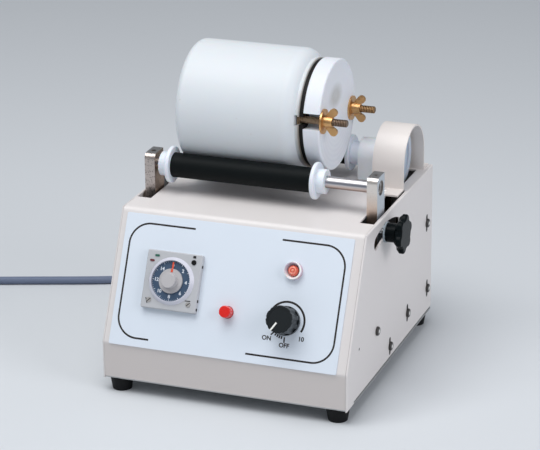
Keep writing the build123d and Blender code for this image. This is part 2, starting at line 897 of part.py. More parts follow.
for end, y, z, bore in (
    ("front", pivot_y, axle_z, axle_radius + fit),
    ("rear", rear_y, rear_z, axle_radius + fit),
):
    core = tube(rubber_x, rubber_length, y, z, core_radius, core_bore_radius)
    write(core, f"{end}_roller_core")
    rubber = tube(rubber_x, rubber_length, y, z, rubber_radius, core_radius + fit)
    write(rubber, f"{end}_roller_rubber")
    bushes = bush_pair(y, z, bore)
    write(bushes, f"{end}_roller_bushes")

# Front axle, held at both ends in the arms
arm_out_x = arm_offset + arm_thickness / 2
axle_half = arm_out_x - arm_axle_recess
front_axle = tube(case_x - axle_half, 2 * axle_half, pivot_y, axle_z, axle_radius, grub_radius)
write(front_axle, "front_axle")


def swing_arm(x, clamped):
    arm_top = axle_z + arm_head
    with BuildPart() as arm:
        with BuildSketch(across(x - arm_thickness / 2)):
            with Locations((pivot_y, (pivot_z + arm_top) / 2)):
                Rectangle(arm_depth, arm_top - pivot_z)
            with Locations((pivot_y, pivot_z)):
                Circle(arm_depth / 2)
            with Locations((pivot_y, pivot_z)):
                Circle(axle_radius + fit, mode=Mode.SUBTRACT)
            with Locations((pivot_y, axle_z)):
                Circle(axle_radius + fit, mode=Mode.SUBTRACT)
            if clamped:
                with Locations((pivot_y, stud_z)):
                    Circle(clamp_stud_radius + fit, mode=Mode.SUBTRACT)
        extrude(amount=arm_thickness)
        crest = arm.edges().filter_by(Axis.X).group_by(Axis.Z)[-1].sort_by(Axis.Y)[0]
        fillet(crest, radius=arm_crest_radius)
        outer_x = x + arm_thickness / 2 if x > case_x else x - arm_thickness / 2
        with BuildSketch(across(outer_x)):
            with Locations((pivot_y, axle_z)):
                Circle(arm_axle_recess_radius)
        inward = -arm_axle_recess if x > case_x else arm_axle_recess
        extrude(amount=inward, mode=Mode.SUBTRACT)
        with BuildSketch(Plane.XY.offset(axle_z)):
            with Locations((x, pivot_y)):
                Circle(grub_radius + fit)
        extrude(amount=arm_head, mode=Mode.SUBTRACT)
    return arm


left_arm = swing_arm(case_x - arm_offset, False)
write(left_arm, "left_arm")
right_arm = swing_arm(case_x + arm_offset, True)
write(right_arm, "right_arm")

with BuildPart() as grub_screws:
    with BuildSketch(Plane.XY.offset(axle_z + axle_radius + fit)):
        with Locations((case_x - arm_offset, pivot_y), (case_x + arm_offset, pivot_y)):
            Circle(grub_radius)
    extrude(amount=grub_length)
    with BuildSketch(Plane.XY.offset(axle_z + axle_radius + fit + grub_length)):
        with Locations((case_x - arm_offset, pivot_y), (case_x + arm_offset, pivot_y)):
            RegularPolygon(grub_socket_radius, 6)
    extrude(amount=-grub_socket_depth, mode=Mode.SUBTRACT)
write(grub_screws, "arm_grub_screws")

# Pivot shaft through both arms, turning in bushes in the ears of the tray
pivot_half = flange_out_x - seat_gap
pivot_shaft = tube(case_x - pivot_half, 2 * pivot_half, pivot_y, pivot_z, axle_radius, grub_radius)
write(pivot_shaft, "pivot_shaft")

with BuildPart() as pivot_bushes:
    for out in (-1, 1):
        for reach, radius, length in (
            (flange_out_x, pivot_bush_radius, -sheet),
            (flange_out_x - sheet, pivot_bush_flange_radius, -pivot_bush_flange),
        ):
            with BuildSketch(across(case_x + out * reach)):
                with Locations((pivot_y, pivot_z)):
                    Circle(radius)
                    Circle(axle_radius + fit, mode=Mode.SUBTRACT)
            extrude(amount=out * length)
write(pivot_bushes, "pivot_bushes")

# Clamp: stud screwed into the right arm, washer against the side plate, lobed knob
stud_inner_x = case_x + arm_out_x - clamp_stud_bite
washer_inner_x = right_x + seat_gap
knob_inner_x = washer_inner_x + clamp_washer_thickness + seat_gap
stud_outer_x = knob_inner_x + clamp_bore_depth - seat_gap

with BuildPart() as clamp_stud:
    with BuildSketch(across(stud_inner_x)):
        with Locations((pivot_y, stud_z)):
            Circle(clamp_stud_radius)
    extrude(amount=stud_outer_x - stud_inner_x)
    with BuildSketch(across(stud_inner_x)):
        with Locations((pivot_y, stud_z)):
            RegularPolygon(stud_socket_radius, 6)
    extrude(amount=stud_socket_depth, mode=Mode.SUBTRACT)
write(clamp_stud, "clamp_stud")

with BuildPart() as clamp_washer:
    with BuildSketch(across(washer_inner_x)):
        with Locations((pivot_y, stud_z)):
            Circle(clamp_washer_radius)
            Circle(clamp_stud_radius + fit, mode=Mode.SUBTRACT)
    extrude(amount=clamp_washer_thickness)
write(clamp_washer, "clamp_washer")

with BuildPart() as clamp_knob:
    head_x = knob_inner_x + clamp_hub_length
    with BuildSketch(across(head_x)) as star:
        with Locations((pivot_y, stud_z)):
            Circle(clamp_head_valley)
            with PolarLocations(clamp_head_radius - clamp_lobe_radius, clamp_lobes, clamp_lobe_turn):
                Circle(clamp_lobe_radius)
        valleys = star.vertices().filter_by(
            lambda corner: hypot(corner.X - pivot_y, corner.Y - stud_z) < clamp_head_valley + fit
        )
        fillet(valleys, radius=clamp_lobe_rounding)
    extrude(amount=clamp_head_thickness)
    fillet(clamp_knob.edges().group_by(Axis.X)[-1], radius=clamp_lobe_rounding)
    chamfer(clamp_knob.edges().group_by(Axis.X)[0], length=clamp_head_bevel)
    for radius, length in (
        (clamp_hub_radius, clamp_hub_length - clamp_neck_length),
        (clamp_neck_radius, clamp_hub_length),
    ):
        with BuildSketch(across(knob_inner_x)):
            with Locations((pivot_y, stud_z)):
                Circle(radius)
        extrude(amount=length)
    with BuildSketch(across(knob_inner_x)):
        with Locations((pivot_y, stud_z)):
            Circle(clamp_stud_radius + fit)
    extrude(amount=clamp_bore_depth, mode=Mode.SUBTRACT)
write(clamp_knob, "clamp_knob")

# Rear axle with its driven pulley
left_block_x = left_x + left_block_inset
right_block_x = right_x - right_block_inset
rear_axle_x = left_block_x + sheet
pulley_right_x = pulley_x + pulley_width / 2
rear_axle = tube(
    rear_axle_x, pulley_right_x - rear_axle_x, rear_y, rear_z, axle_radius, grub_radius
)
write(rear_axle, "rear_axle")


block_spans = ((left_block_x, left_block_width), (right_block_x, right_block_width))
with BuildPart() as bearing_blocks:
    for x, width in block_spans:
        with BuildSketch(across(x)):
            with Locations((rear_y, (top_z + rear_z) / 2)):
                Rectangle(2 * block_radius, rear_z - top_z)
            with Locations((rear_y, rear_z)):
                Circle(block_radius)
                Circle(bearing_radius + fit, mode=Mode.SUBTRACT)
        extrude(amount=width)
write(bearing_blocks, "bearing_blocks")

with BuildPart() as rear_bearings:
    for x, width in block_spans:
        with BuildSketch(across(x)):
            with Locations((rear_y, rear_z)):
                Circle(bearing_radius)
                Circle(axle_radius + fit, mode=Mode.SUBTRACT)
        extrude(amount=width)
write(rear_bearings, "rear_bearings")


def grooved_wheel(y, z, radius, hub_side, bore, recessed):
    middle = pulley_x
    with BuildPart() as wheel:
        with BuildSketch(lying(y, z)):
            with BuildLine():
                Polyline(
                    (middle - pulley_width / 2, bore),
                    (middle - pulley_width / 2, radius),
                    (middle + pulley_width / 2, radius),
                    (middle + pulley_width / 2, bore),
                    close=True,
                )
            make_face()
            with Locations((middle, radius - belt_radius)):
                Circle(belt_radius + seat_gap, mode=Mode.SUBTRACT)
            with Locations((middle, radius)):
                Rectangle(2 * (belt_radius + seat_gap), 2 * belt_radius, mode=Mode.SUBTRACT)
            hub_start = middle - pulley_width / 2 - hub_side
            with BuildLine():
                Polyline(
                    (hub_start, bore),
                    (hub_start, pulley_hub_radius),
                    (middle, pulley_hub_radius),
                    (middle, bore),
                    close=True,
                )
            make_face()
            if recessed:
                face_x = middle + pulley_width / 2
                floor_radius = radius - 2 * belt_radius - pulley_rim / 2
                with Locations((face_x, (pulley_boss_radius + floor_radius) / 2)):
                    Rectangle(
                        2 * pulley_recess, floor_radius - pulley_boss_radius, mode=Mode.SUBTRACT
                    )
        revolve(axis=turned(y, z))
    return wheel


driven_pulley = grooved_wheel(
    rear_y, rear_z, pulley_radius, pulley_hub_length, axle_radius + fit, True
)
write(driven_pulley, "driven_pulley")

# Belt cover: strap bent over the pulley, with a foot at each end
cover_inner = cover_radius - sheet
with BuildPart() as belt_cover:
    with BuildSketch(across(cover_x)):
        with BuildLine():
            Polyline(
                (rear_y - cover_radius - cover_foot, top_z),
                (rear_y - cover_inner, top_z),
                (rear_y - cover_inner, rear_z),
            )
            ThreePointArc(
                (rear_y - cover_inner, rear_z),
                (rear_y, rear_z + cover_inner),
                (rear_y + cover_inner, rear_z),
            )
            Polyline(
                (rear_y + cover_inner, rear_z),
                (rear_y + cover_inner, top_z),
                (rear_y + cover_radius + cover_rear_foot, top_z),
            )
            offset(amount=sheet, side=Side.LEFT)
        make_face()
    extrude(amount=cover_width)
    with BuildSketch(Plane.XY.offset(top_z)):
        with Locations(*cover_screw_places):
            Circle(cover_screw_shank + fit)
    extrude(amount=2 * sheet, mode=Mode.SUBTRACT)
write(belt_cover, "belt_cover")

with BuildPart() as cover_screws:
    with BuildSketch(Plane.XY.offset(top_z + sheet)):
        with Locations(*cover_screw_places):
            Circle(cover_screw_radius)
    extrude(amount=cover_screw_head)
    fillet(cover_screws.edges().group_by(Axis.Z)[-1], radius=cover_screw_head * screw_crown_share)
    with BuildSketch(Plane.XY.offset(top_z + sheet)):
        with Locations(*cover_screw_places):
            Circle(cover_screw_shank)
    extrude(amount=-cover_screw_length)

# Motor with gearhead on its bracket, its pulley on the output shaft, and the belt
with BuildPart() as gear_motor:
    with BuildSketch(across(bracket_x - gearhead_length)):
        with Locations((motor_y, motor_z)):
            RectangleRounded(gearhead_side, gearhead_side, gearhead_corner)
    extrude(amount=gearhead_length)
    with BuildSketch(across(bracket_x)):
        with Locations((motor_y, motor_z)):
            with GridLocations(motor_screw_spread, motor_screw_spread, 2, 2):
                Circle(motor_screw_shank + fit)
    extrude(amount=-motor_screw_length, mode=Mode.SUBTRACT)
    with BuildSketch(across(bracket_x - gearhead_length)):
        with Locations((motor_y, motor_z)):
            Circle(motor_radius)
    extrude(amount=-motor_length)
    with BuildSketch(across(bracket_x)):
        with Locations((motor_y, motor_z)):
            Circle(motor_boss_radius)
    extrude(amount=motor_boss_height)
    with BuildSketch(across(bracket_x + motor_boss_height)):
        with Locations((motor_y, motor_z)):
            Circle(motor_shaft_radius + fit)
    extrude(amount=-(motor_boss_height + motor_shaft_seat), mode=Mode.SUBTRACT)
write(gear_motor, "gear_motor")

with BuildPart() as motor_bracket:
    with BuildSketch(across(bracket_x)):
        with Locations((motor_y, tray_z + bracket_height / 2)):
            Rectangle(bracket_width, bracket_height)
        with Locations((motor_y, motor_z)):
            Circle(motor_boss_radius + fit, mode=Mode.SUBTRACT)
            with GridLocations(motor_screw_spread, motor_screw_spread, 2, 2):
                Circle(motor_screw_shank + fit, mode=Mode.SUBTRACT)
    extrude(amount=bracket_thickness)
    with BuildSketch(Plane.XY.offset(tray_z)):
        with Locations((bracket_x - bracket_foot / 2, motor_y)):
            Rectangle(bracket_foot, bracket_width)
        with Locations(*bracket_screw_places):
            Circle(motor_screw_shank + fit, mode=Mode.SUBTRACT)
    extrude(amount=bracket_thickness)
write(motor_bracket, "motor_bracket")

with BuildPart() as motor_screws:
    with BuildSketch(across(bracket_x + bracket_thickness)):
        with Locations((motor_y, motor_z)):
            with GridLocations(motor_screw_spread, motor_screw_spread, 2, 2):
                Circle(motor_screw_radius)
    extrude(amount=motor_screw_head)
    with BuildSketch(across(bracket_x + bracket_thickness)):
        with Locations((motor_y, motor_z)):
            with GridLocations(motor_screw_spread, motor_screw_spread, 2, 2):
                Circle(motor_screw_shank)
    extrude(amount=-motor_screw_length)
    with BuildSketch(Plane.XY.offset(tray_z + bracket_thickness)):
        with Locations(*bracket_screw_places):
            Circle(motor_screw_radius)
    extrude(amount=motor_screw_head)
    with BuildSketch(Plane.XY.offset(tray_z + bracket_thickness)):
        with Locations(*bracket_screw_places):
            Circle(motor_screw_shank)
    extrude(amount=-(bracket_thickness + sheet))

with BuildPart() as case_screws:
    add(left_side_screws.part)
    add(right_side_screws.part)
    add(foot_screws.part)
    add(cover_screws.part)
    add(motor_screws.part)
write(case_screws, "case_screws")

motor_pulley = grooved_wheel(motor_y, motor_z, motor_pulley_radius, pulley_hub_length, 0, False)
with BuildPart() as motor_pulley_on_shaft:
    add(motor_pulley.part)
    with BuildSketch(across(bracket_x + motor_boss_height - motor_shaft_seat)):
        with Locations((motor_y, motor_z)):
            Circle(motor_shaft_radius)
    extrude(amount=pulley_right_x - bracket_x - motor_boss_height + motor_shaft_seat)
write(motor_pulley_on_shaft, "motor_pulley")

with BuildPart() as drive_belt:
    with BuildSketch(across(pulley_x - belt_radius)):
        for side, mode in ((belt_radius, Mode.ADD), (-belt_radius, Mode.SUBTRACT)):
            with BuildSketch(mode=mode):
                with Locations((rear_y, rear_z)):
                    Circle(belt_turn + side)
                with Locations((motor_y, motor_z)):
                    Circle(small_turn + side)
                make_hull()
    extrude(amount=2 * belt_radius)
    fillet(drive_belt.edges().filter_by(Axis.X, reverse=True), radius=belt_rounding)
write(drive_belt, "drive_belt")

# Control board on its standoffs, beside the motor
board_x = board_left + board_width / 2
board_y = board_front + board_depth / 2
board_z = tray_z + board_rise
board_top = board_z + board_thickness
with BuildPart() as control_board:
    with BuildSketch(Plane.XY.offset(tray_z)):
        with Locations((board_x, board_y)):
            corner_width = board_width - 2 * standoff_inset
            corner_depth = board_depth - 2 * standoff_inset
            with GridLocations(corner_width, corner_depth, 2, 2):
                Circle(standoff_radius)
    extrude(amount=board_rise)
    with BuildSketch(Plane.XY.offset(board_z)):
        with Locations((board_x, board_y)):
            Rectangle(board_width, board_depth)
    extrude(amount=board_thickness)
    for shares, size_shares, height in board_blocks:
        with BuildSketch(Plane.XY.offset(board_top)):
            with Locations((board_x + shares[0] * board_width, board_y + shares[1] * board_depth)):
                Rectangle(size_shares[0] * board_width, size_shares[1] * board_depth)
        extrude(amount=height)
    with BuildSketch(Plane.XY.offset(board_top)):
        for across_share, back_share in capacitor_shares:
            with Locations((board_x + across_share * board_width, board_y + back_share * board_depth)):
                Circle(capacitor_radius)
    extrude(amount=capacitor_height)
write(control_board, "control_board")

# Porcelain pot lying on the rollers: the neck ring has a stepped notch for each bolt
pot_bore = pot_radius - pot_wall
throat_x = ring_x - pot_wall
pocket_x = ring_x - bolt_head_sink
lip_x = pocket_x + bolt_head_thickness + bolt_play
first_bolt = 180 - bolt_turn
pocket_inner = bolt_circle_radius - bolt_head_width / 2 - bolt_play
pocket_outer = pot_ring_radius + overrun
pocket_middle = (pocket_inner + pocket_outer) / 2
with BuildPart() as pot:
    with BuildSketch(lying(pot_y, pot_z)):
        with BuildLine():
            barrel = Polyline(
                (pot_x + pot_wall, 0), (pot_x, 0), (pot_x, pot_radius), (shoulder_x, pot_radius)
            )
            TangentArc(barrel @ 1, (ring_x, pot_ring_radius), tangent=barrel % 1)
            Polyline(
                (ring_x, pot_ring_radius),
                (mouth_x, pot_ring_radius),
                (mouth_x, pot_mouth_radius),
                (throat_x, pot_mouth_radius),
                (throat_x, pot_mouth_radius + pot_wall),
                (shoulder_x - pot_wall / 2, pot_bore),
                (pot_x + pot_wall, pot_bore),
                (pot_x + pot_wall, 0),
            )
        make_face()
    revolve(axis=turned(pot_y, pot_z))
    rims = pot.edges().filter_by(GeomType.CIRCLE)
    fillet(rims.group_by(Axis.X)[0], radius=pot_foot_rounding)
    mouth_rims = pot.edges().filter_by(GeomType.CIRCLE).group_by(Axis.X)[-1]
    fillet(mouth_rims.sort_by(SortBy.RADIUS)[-1], radius=pot_ring_rounding)
    with BuildSketch(across(pocket_x)):
        with Locations((pot_y, pot_z)):
            with PolarLocations(pocket_middle, 2, first_bolt):
                Rectangle(pocket_outer - pocket_inner, bolt_head_width + 2 * bolt_play)
    extrude(amount=lip_x - pocket_x, mode=Mode.SUBTRACT)
    with BuildSketch(across(lip_x)):
        with Locations((pot_y, pot_z)):
            with PolarLocations(pocket_middle, 2, first_bolt):
                Rectangle(pocket_outer - pocket_inner, 2 * bolt_radius + 2 * bolt_play)
    extrude(amount=overrun, mode=Mode.SUBTRACT)
write(pot, "pot")

with BuildPart() as gasket:
    with BuildSketch(across(mouth_x)):
        with Locations((pot_y, pot_z)):
            Circle(gasket_radius)
            Circle(pot_mouth_radius, mode=Mode.SUBTRACT)
            with PolarLocations(pocket_middle, 2, first_bolt):
                Rectangle(
                    pocket_outer - pocket_inner, 2 * bolt_radius + 2 * bolt_play, mode=Mode.SUBTRACT
                )
    extrude(amount=gasket_thickness)
write(gasket, "gasket")

notch_middle = lid_radius - lid_notch_depth + lid_notch_width / 2
with BuildPart() as lid:
    with BuildSketch(across(lid_x)):
        with Locations((pot_y, pot_z)):
            Circle(lid_radius)
    extrude(amount=lid_thickness)
    fillet(lid.edges().filter_by(GeomType.CIRCLE), radius=lid_rounding)
    with BuildSketch(across(lid_x)):
        with Locations((pot_y, pot_z)):
            with PolarLocations(notch_middle, 2, first_bolt):
                Circle(lid_notch_width / 2)
            with PolarLocations(notch_middle + lid_notch_depth / 2, 2, first_bolt):
                Rectangle(lid_notch_depth, lid_notch_width)
    extrude(amount=lid_thickness, mode=Mode.SUBTRACT)
write(lid, "lid")

with BuildPart() as pot_bolts:
    with BuildSketch(across(lip_x - bolt_head_thickness)):
        with Locations((pot_y, pot_z)):
            with PolarLocations(bolt_circle_radius, 2, first_bolt):
                Rectangle(bolt_head_width, bolt_head_width)
    extrude(amount=bolt_head_thickness)
    with BuildSketch(across(lip_x)):
        with Locations((pot_y, pot_z)):
            with PolarLocations(bolt_circle_radius, 2, first_bolt):
                Circle(bolt_radius)
    extrude(amount=bolt_length - bolt_head_thickness)
    ends = pot_bolts.edges().filter_by(GeomType.CIRCLE).group_by(Axis.X)[-1]
    chamfer(ends, length=bolt_radius / 4)
write(pot_bolts, "pot_bolts")

# A washer and a wing nut on each bolt
nut_x = lid_face_x + washer_thickness
for end, turn in (("front", first_bolt), ("rear", first_bolt + 180)):
    bolt_y = pot_y + bolt_circle_radius * cos(radians(turn))
    bolt_z = pot_z + bolt_circle_radius * sin(radians(turn))
    washer = tube(lid_face_x, washer_thickness, bolt_y, bolt_z, washer_radius, bolt_radius + fit)
    write(washer, f"{end}_washer")
    with BuildPart() as wing_nut:
        with BuildSketch(across(nut_x)):
            with Locations((bolt_y, bolt_z)):
                Circle(nut_hub_radius)
        hub_taper = degrees(atan2(nut_hub_radius - nut_hub_top_radius, nut_hub_length))
        extrude(amount=nut_hub_length, taper=hub_taper)
        for side in (-1, 1):
            with BuildSketch(lying(bolt_y, bolt_z)):
                with Locations((nut_x + nut_wing_rise, side * nut_wing_reach)):
                    Circle(nut_wing_tip_radius)
                with Locations((nut_x + nut_hub_length / 2, side * nut_wing_root)):
                    Circle(nut_hub_length / 3)
                make_hull()
            extrude(amount=nut_wing_thickness / 2, both=True)
        with BuildSketch(across(nut_x)):
            with Locations((bolt_y, bolt_z)):
                Circle(bolt_radius + fit)
        extrude(amount=nut_wing_rise + nut_wing_tip_radius, mode=Mode.SUBTRACT)
    write(wing_nut, f"{end}_wing_nut")

# Cord gland in the back panel
gland_x = case_x + gland_across
gland_z = floor_z + gland_height
gland_body_length = gland_length - gland_flange_thickness
with BuildPart() as cord_gland:
    with BuildSketch(across(gland_x)):
        with BuildLine():
            Polyline(
                (back_y - sheet - gland_nut_thickness, gland_z),
                (back_y - sheet - gland_nut_thickness, gland_z + gland_nut_radius),
                (back_y - sheet, gland_z + gland_nut_radius),
                (back_y - sheet, gland_z + gland_body_radius - sheet),
                (back_y, gland_z + gland_body_radius - sheet),
                (back_y, gland_z + gland_body_radius),
                (back_y + gland_flange_thickness, gland_z + gland_body_radius),
                (back_y + gland_flange_thickness, gland_z + gland_body_radius - sheet),
                (back_y + gland_length, gland_z + gland_tip_radius),
                (back_y + gland_length, gland_z),
                close=True,
            )
        make_face()
        rib_pitch = gland_body_length / (gland_ribs + 1)
        for rib in range(gland_ribs):
            rib_y = back_y + gland_flange_thickness + (rib + 1) * rib_pitch
            slope = (gland_body_radius - sheet - gland_tip_radius) / gland_body_length
            rib_z = gland_z + gland_body_radius - sheet - slope * (rib + 1) * rib_pitch
            with Locations((rib_y, rib_z)):
                Rectangle(rib_pitch / 2, 2 * gland_rib_depth, mode=Mode.SUBTRACT)
    revolve(axis=Axis((gland_x, 0, gland_z), (0, 1, 0)))
    with BuildSketch(Plane.XZ.offset(-(back_y + gland_length))):
        with Locations((gland_x, gland_z)):
            Circle(cord_radius + fit)
    extrude(amount=cord_seat, mode=Mode.SUBTRACT)
write(cord_gland, "cord_gland")

# Mains lead: from the gland down to the table, round behind the case and off to the left.
# Places are measured from the middle of the case, its front and the table.
cord_start = (gland_across, case_depth + gland_length - cord_seat, gland_z)
lead_places = (cord_start,) + lead_route
lead_points = [Vector(case_x + x, front_y + y, z) for x, y, z in lead_places]
runs = [after - before for before, after in zip(lead_points, lead_points[1:])]
lead_radii = []
for before, after in zip(runs, runs[1:]):
    half_turn = radians(before.get_angle(after)) / 2
    lead_radii.append(0.45 * min(before.length, after.length) / sin(half_turn) * cos(half_turn))
print("lead radii", [round(radius, 1) for radius in lead_radii])
with BuildLine() as lead_line:
    FilletPolyline(*lead_points, radius=lead_radii)
lead_wire = lead_line.wire()
with BuildPart() as cord_lead:
    with BuildSketch(Plane(lead_points[0], z_dir=runs[0])):
        Circle(cord_radius)
    sweep(path=lead_wire)
write(cord_lead, "cord_lead")
section = pi * cord_radius**2
print("lead length", round(lead_wire.length, 1))
print("lead volume share", round(cord_lead.part.volume / (section * lead_wire.length), 5))

# The rest of the lead lies coiled: two layers of turns, in along the table and out above
heading = runs[-1].normalized()
coil_side = Vector(-heading.Y, heading.X, 0)
outer_turn = coil_radius + coil_layer_turns * coil_pitch / 2
inner_turn = coil_radius - coil_layer_turns * coil_pitch / 2
coil_start = lead_points[-1]
coil_touch = coil_start + heading * coil_start_length
coil_middle = coil_touch + coil_side * outer_turn
first_turn = atan2(-coil_side.Y, -coil_side.X)
quarters = 8 * coil_layer_turns


def coil_place(quarter):
    angle = first_turn + quarter * pi / 2
    from_middle = quarter - quarters / 2
    radius = inner_turn + coil_pitch * abs(from_middle) / 4
    climb = min(max((from_middle + 1) / 2, 0), 1)
    out = Vector(cos(angle), sin(angle), 0)
    along = Vector(-sin(angle), cos(angle), 0)
    drift = 0
    if from_middle and 0 < quarter < quarters:
        drift = coil_pitch / (2 * pi) * from_middle / abs(from_middle) / radius
    rise = 0 if from_middle else 1.5 * coil_pitch / (pi * radius)
    place = coil_middle + out * radius + Vector(0, 0, climb * coil_pitch)
    return place, (along + out * drift + Vector(0, 0, rise)).normalized()


def arc_pair(start, leaving, end, arriving):
    span = end - start
    both = leaving + arriving
    bend = 2 * (1 - leaving.dot(arriving))
    reach = (sqrt(span.dot(both) ** 2 + bend * span.dot(span)) - span.dot(both)) / bend
    joint = (start + end + (leaving - arriving) * reach) * 0.5
    TangentArc(start, joint, tangent=leaving)
    TangentArc(joint, end, tangent=span - both * reach)


coil_places = [coil_place(quarter) for quarter in range(quarters + 1)]
coil_end_place, coil_end_heading = coil_places[-1]
coil_end = coil_end_place + coil_end_heading * coil_end_length
with BuildLine() as coil_line:
    Line(coil_start, coil_touch)
    for (start, leaving), (end, arriving) in zip(coil_places, coil_places[1:]):
        arc_pair(start, leaving, end, arriving)
    Line(coil_end_place, coil_end)
coil_wire = coil_line.wire()
with BuildPart() as cord_coil:
    with BuildSketch(Plane(coil_start, z_dir=heading)):
        Circle(cord_radius)
    sweep(path=coil_wire)
write(cord_coil, "cord_coil")
print("coil length", round(coil_wire.length, 1))
print("coil volume share", round(cord_coil.part.volume / (section * coil_wire.length), 5))

samples = [coil_wire @ (step / coil_samples) for step in range(coil_samples + 1)]
apart = int(4 * cord_radius / (coil_wire.length / coil_samples))
nearest = min(
    (samples[late] - samples[early]).length
    for early in range(coil_samples + 1)
    for late in range(early + apart, coil_samples + 1)
)
print("coil least gap", round(nearest - 2 * cord_radius, 3))

# Plug at the coil's end, lying on its narrow edge
plug_plane = Plane(coil_end, x_dir=(0, 0, 1), z_dir=coil_end_heading)
with BuildPart() as plug:
    with BuildSketch(plug_plane):
        Circle(plug_sleeve_tip)
    with BuildSketch(plug_plane.offset(plug_sleeve_length)):
        Circle(plug_sleeve_root)
    loft()
    with BuildSketch(plug_plane.offset(plug_sleeve_length)):
        RectangleRounded(plug_width, plug_thickness, plug_rounding)
    extrude(amount=plug_length)
    with BuildSketch(plug_plane.offset(plug_sleeve_length + plug_length)):
        with GridLocations(blade_spacing, 0, 2, 1):
            Rectangle(blade_thickness, blade_width)
    extrude(amount=blade_length)
write(plug, "plug")
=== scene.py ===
import json
from math import atan2, cos, hypot, pi, radians, sin

import bmesh
import bpy
from mathutils import Matrix, Vector


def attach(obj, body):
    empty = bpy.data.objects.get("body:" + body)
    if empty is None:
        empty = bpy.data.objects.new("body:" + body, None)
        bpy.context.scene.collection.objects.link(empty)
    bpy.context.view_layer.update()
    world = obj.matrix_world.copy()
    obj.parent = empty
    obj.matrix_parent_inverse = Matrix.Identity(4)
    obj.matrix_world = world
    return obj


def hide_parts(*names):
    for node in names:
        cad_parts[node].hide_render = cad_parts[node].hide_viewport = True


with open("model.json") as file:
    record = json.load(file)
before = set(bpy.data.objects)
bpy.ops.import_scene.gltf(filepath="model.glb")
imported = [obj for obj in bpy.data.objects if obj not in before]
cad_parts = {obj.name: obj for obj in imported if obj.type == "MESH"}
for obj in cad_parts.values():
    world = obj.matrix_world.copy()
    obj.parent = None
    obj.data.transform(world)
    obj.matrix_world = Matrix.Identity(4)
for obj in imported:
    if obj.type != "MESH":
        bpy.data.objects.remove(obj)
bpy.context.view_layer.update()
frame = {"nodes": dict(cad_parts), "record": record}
cadNodes = frame["nodes"]
mm = 0.001

# camera: a long lens, to the right of the stand and looking down on it
photoView = {"place": (635.52, -1711.645, 805.97), "yaw": 20.63, "pitch": 20.58, "roll": -0.62,
             "lens": 155.49, "sensor": 36, "reach": 50}


def aimCamera(view):
    yaw, pitch, roll = (radians(view[turn]) for turn in ("yaw", "pitch", "roll"))
    ahead = Vector((-sin(yaw) * cos(pitch), cos(yaw) * cos(pitch), -sin(pitch)))
    level = Vector((cos(yaw), sin(yaw), 0))
    top = level.cross(ahead)
    right = level * cos(roll) + top * sin(roll)
    up = top * cos(roll) - level * sin(roll)
    lens = bpy.data.cameras.new("photoCamera")
    lens.lens = view["lens"]
    lens.sensor_width = view["sensor"]
    lens.clip_end = view["reach"]
    camera = bpy.data.objects.new("photoCamera", lens)
    turned = Matrix((right, up, -ahead)).transposed().to_4x4()
    camera.matrix_world = Matrix.Translation(Vector(view["place"]) * mm) @ turned
    bpy.context.scene.collection.objects.link(camera)
    bpy.context.scene.camera = camera


aimCamera(photoView)
bpy.context.scene.view_settings.view_transform = "Standard"
print("camera set")

# places on the case, in millimetres
case = {"x": -8.85, "front": -112.275, "bend": 44.4, "lean": atan2(49.0, 101.3), "plate": 0.8,
        "rightSide": 97.4, "leftSide": -115.1, "stripShadeFade": 2.5}
panelOut = Vector((0, -cos(case["lean"]), sin(case["lean"])))
panelUp = Vector((0, sin(case["lean"]), cos(case["lean"])))


def panelPoint(across, up, height):
    foot = Vector((case["x"] + across, case["front"], case["bend"]))
    return (foot + panelUp * up + panelOut * height) * mm


def panelTurn():
    return Matrix((Vector((1, 0, 0)), panelUp, panelOut)).transposed().to_4x4()


def tint(code):
    parts = [int(code[i:i + 2], 16) / 255 for i in (0, 2, 4)]
    flat = [p / 12.92 if p <= 0.04045 else ((p + 0.055) / 1.055) ** 2.4 for p in parts]
    return (*flat, 1)


class Wire:
    def __init__(self, finish, socket):
        self.finish = finish
        self.socket = socket

    def maths(self, operation, *values):
        sockets = dict(enumerate(values))
        return self.finish.add("ShaderNodeMath", {"operation": operation}, sockets)

    def __add__(self, other):
        return self.maths("ADD", self, other)

    def __sub__(self, other):
        return self.maths("SUBTRACT", self, other)

    def __rsub__(self, other):
        return self.maths("SUBTRACT", other, self)

    def __mul__(self, other):
        return self.maths("MULTIPLY", self, other)

    def __truediv__(self, other):
        return self.maths("DIVIDE", self, other)

    def __pow__(self, other):
        return self.maths("POWER", self, other)

    def above(self, other):
        return self.maths("GREATER_THAN", self, other)

    def below(self, other):
        return self.maths("LESS_THAN", self, other)

    def wave(self):
        return self.maths("SINE", self)

    def size(self):
        return self.maths("ABSOLUTE", self)

    def least(self, other):
        return self.maths("MINIMUM", self, other)

    __radd__ = __add__
    __rmul__ = __mul__


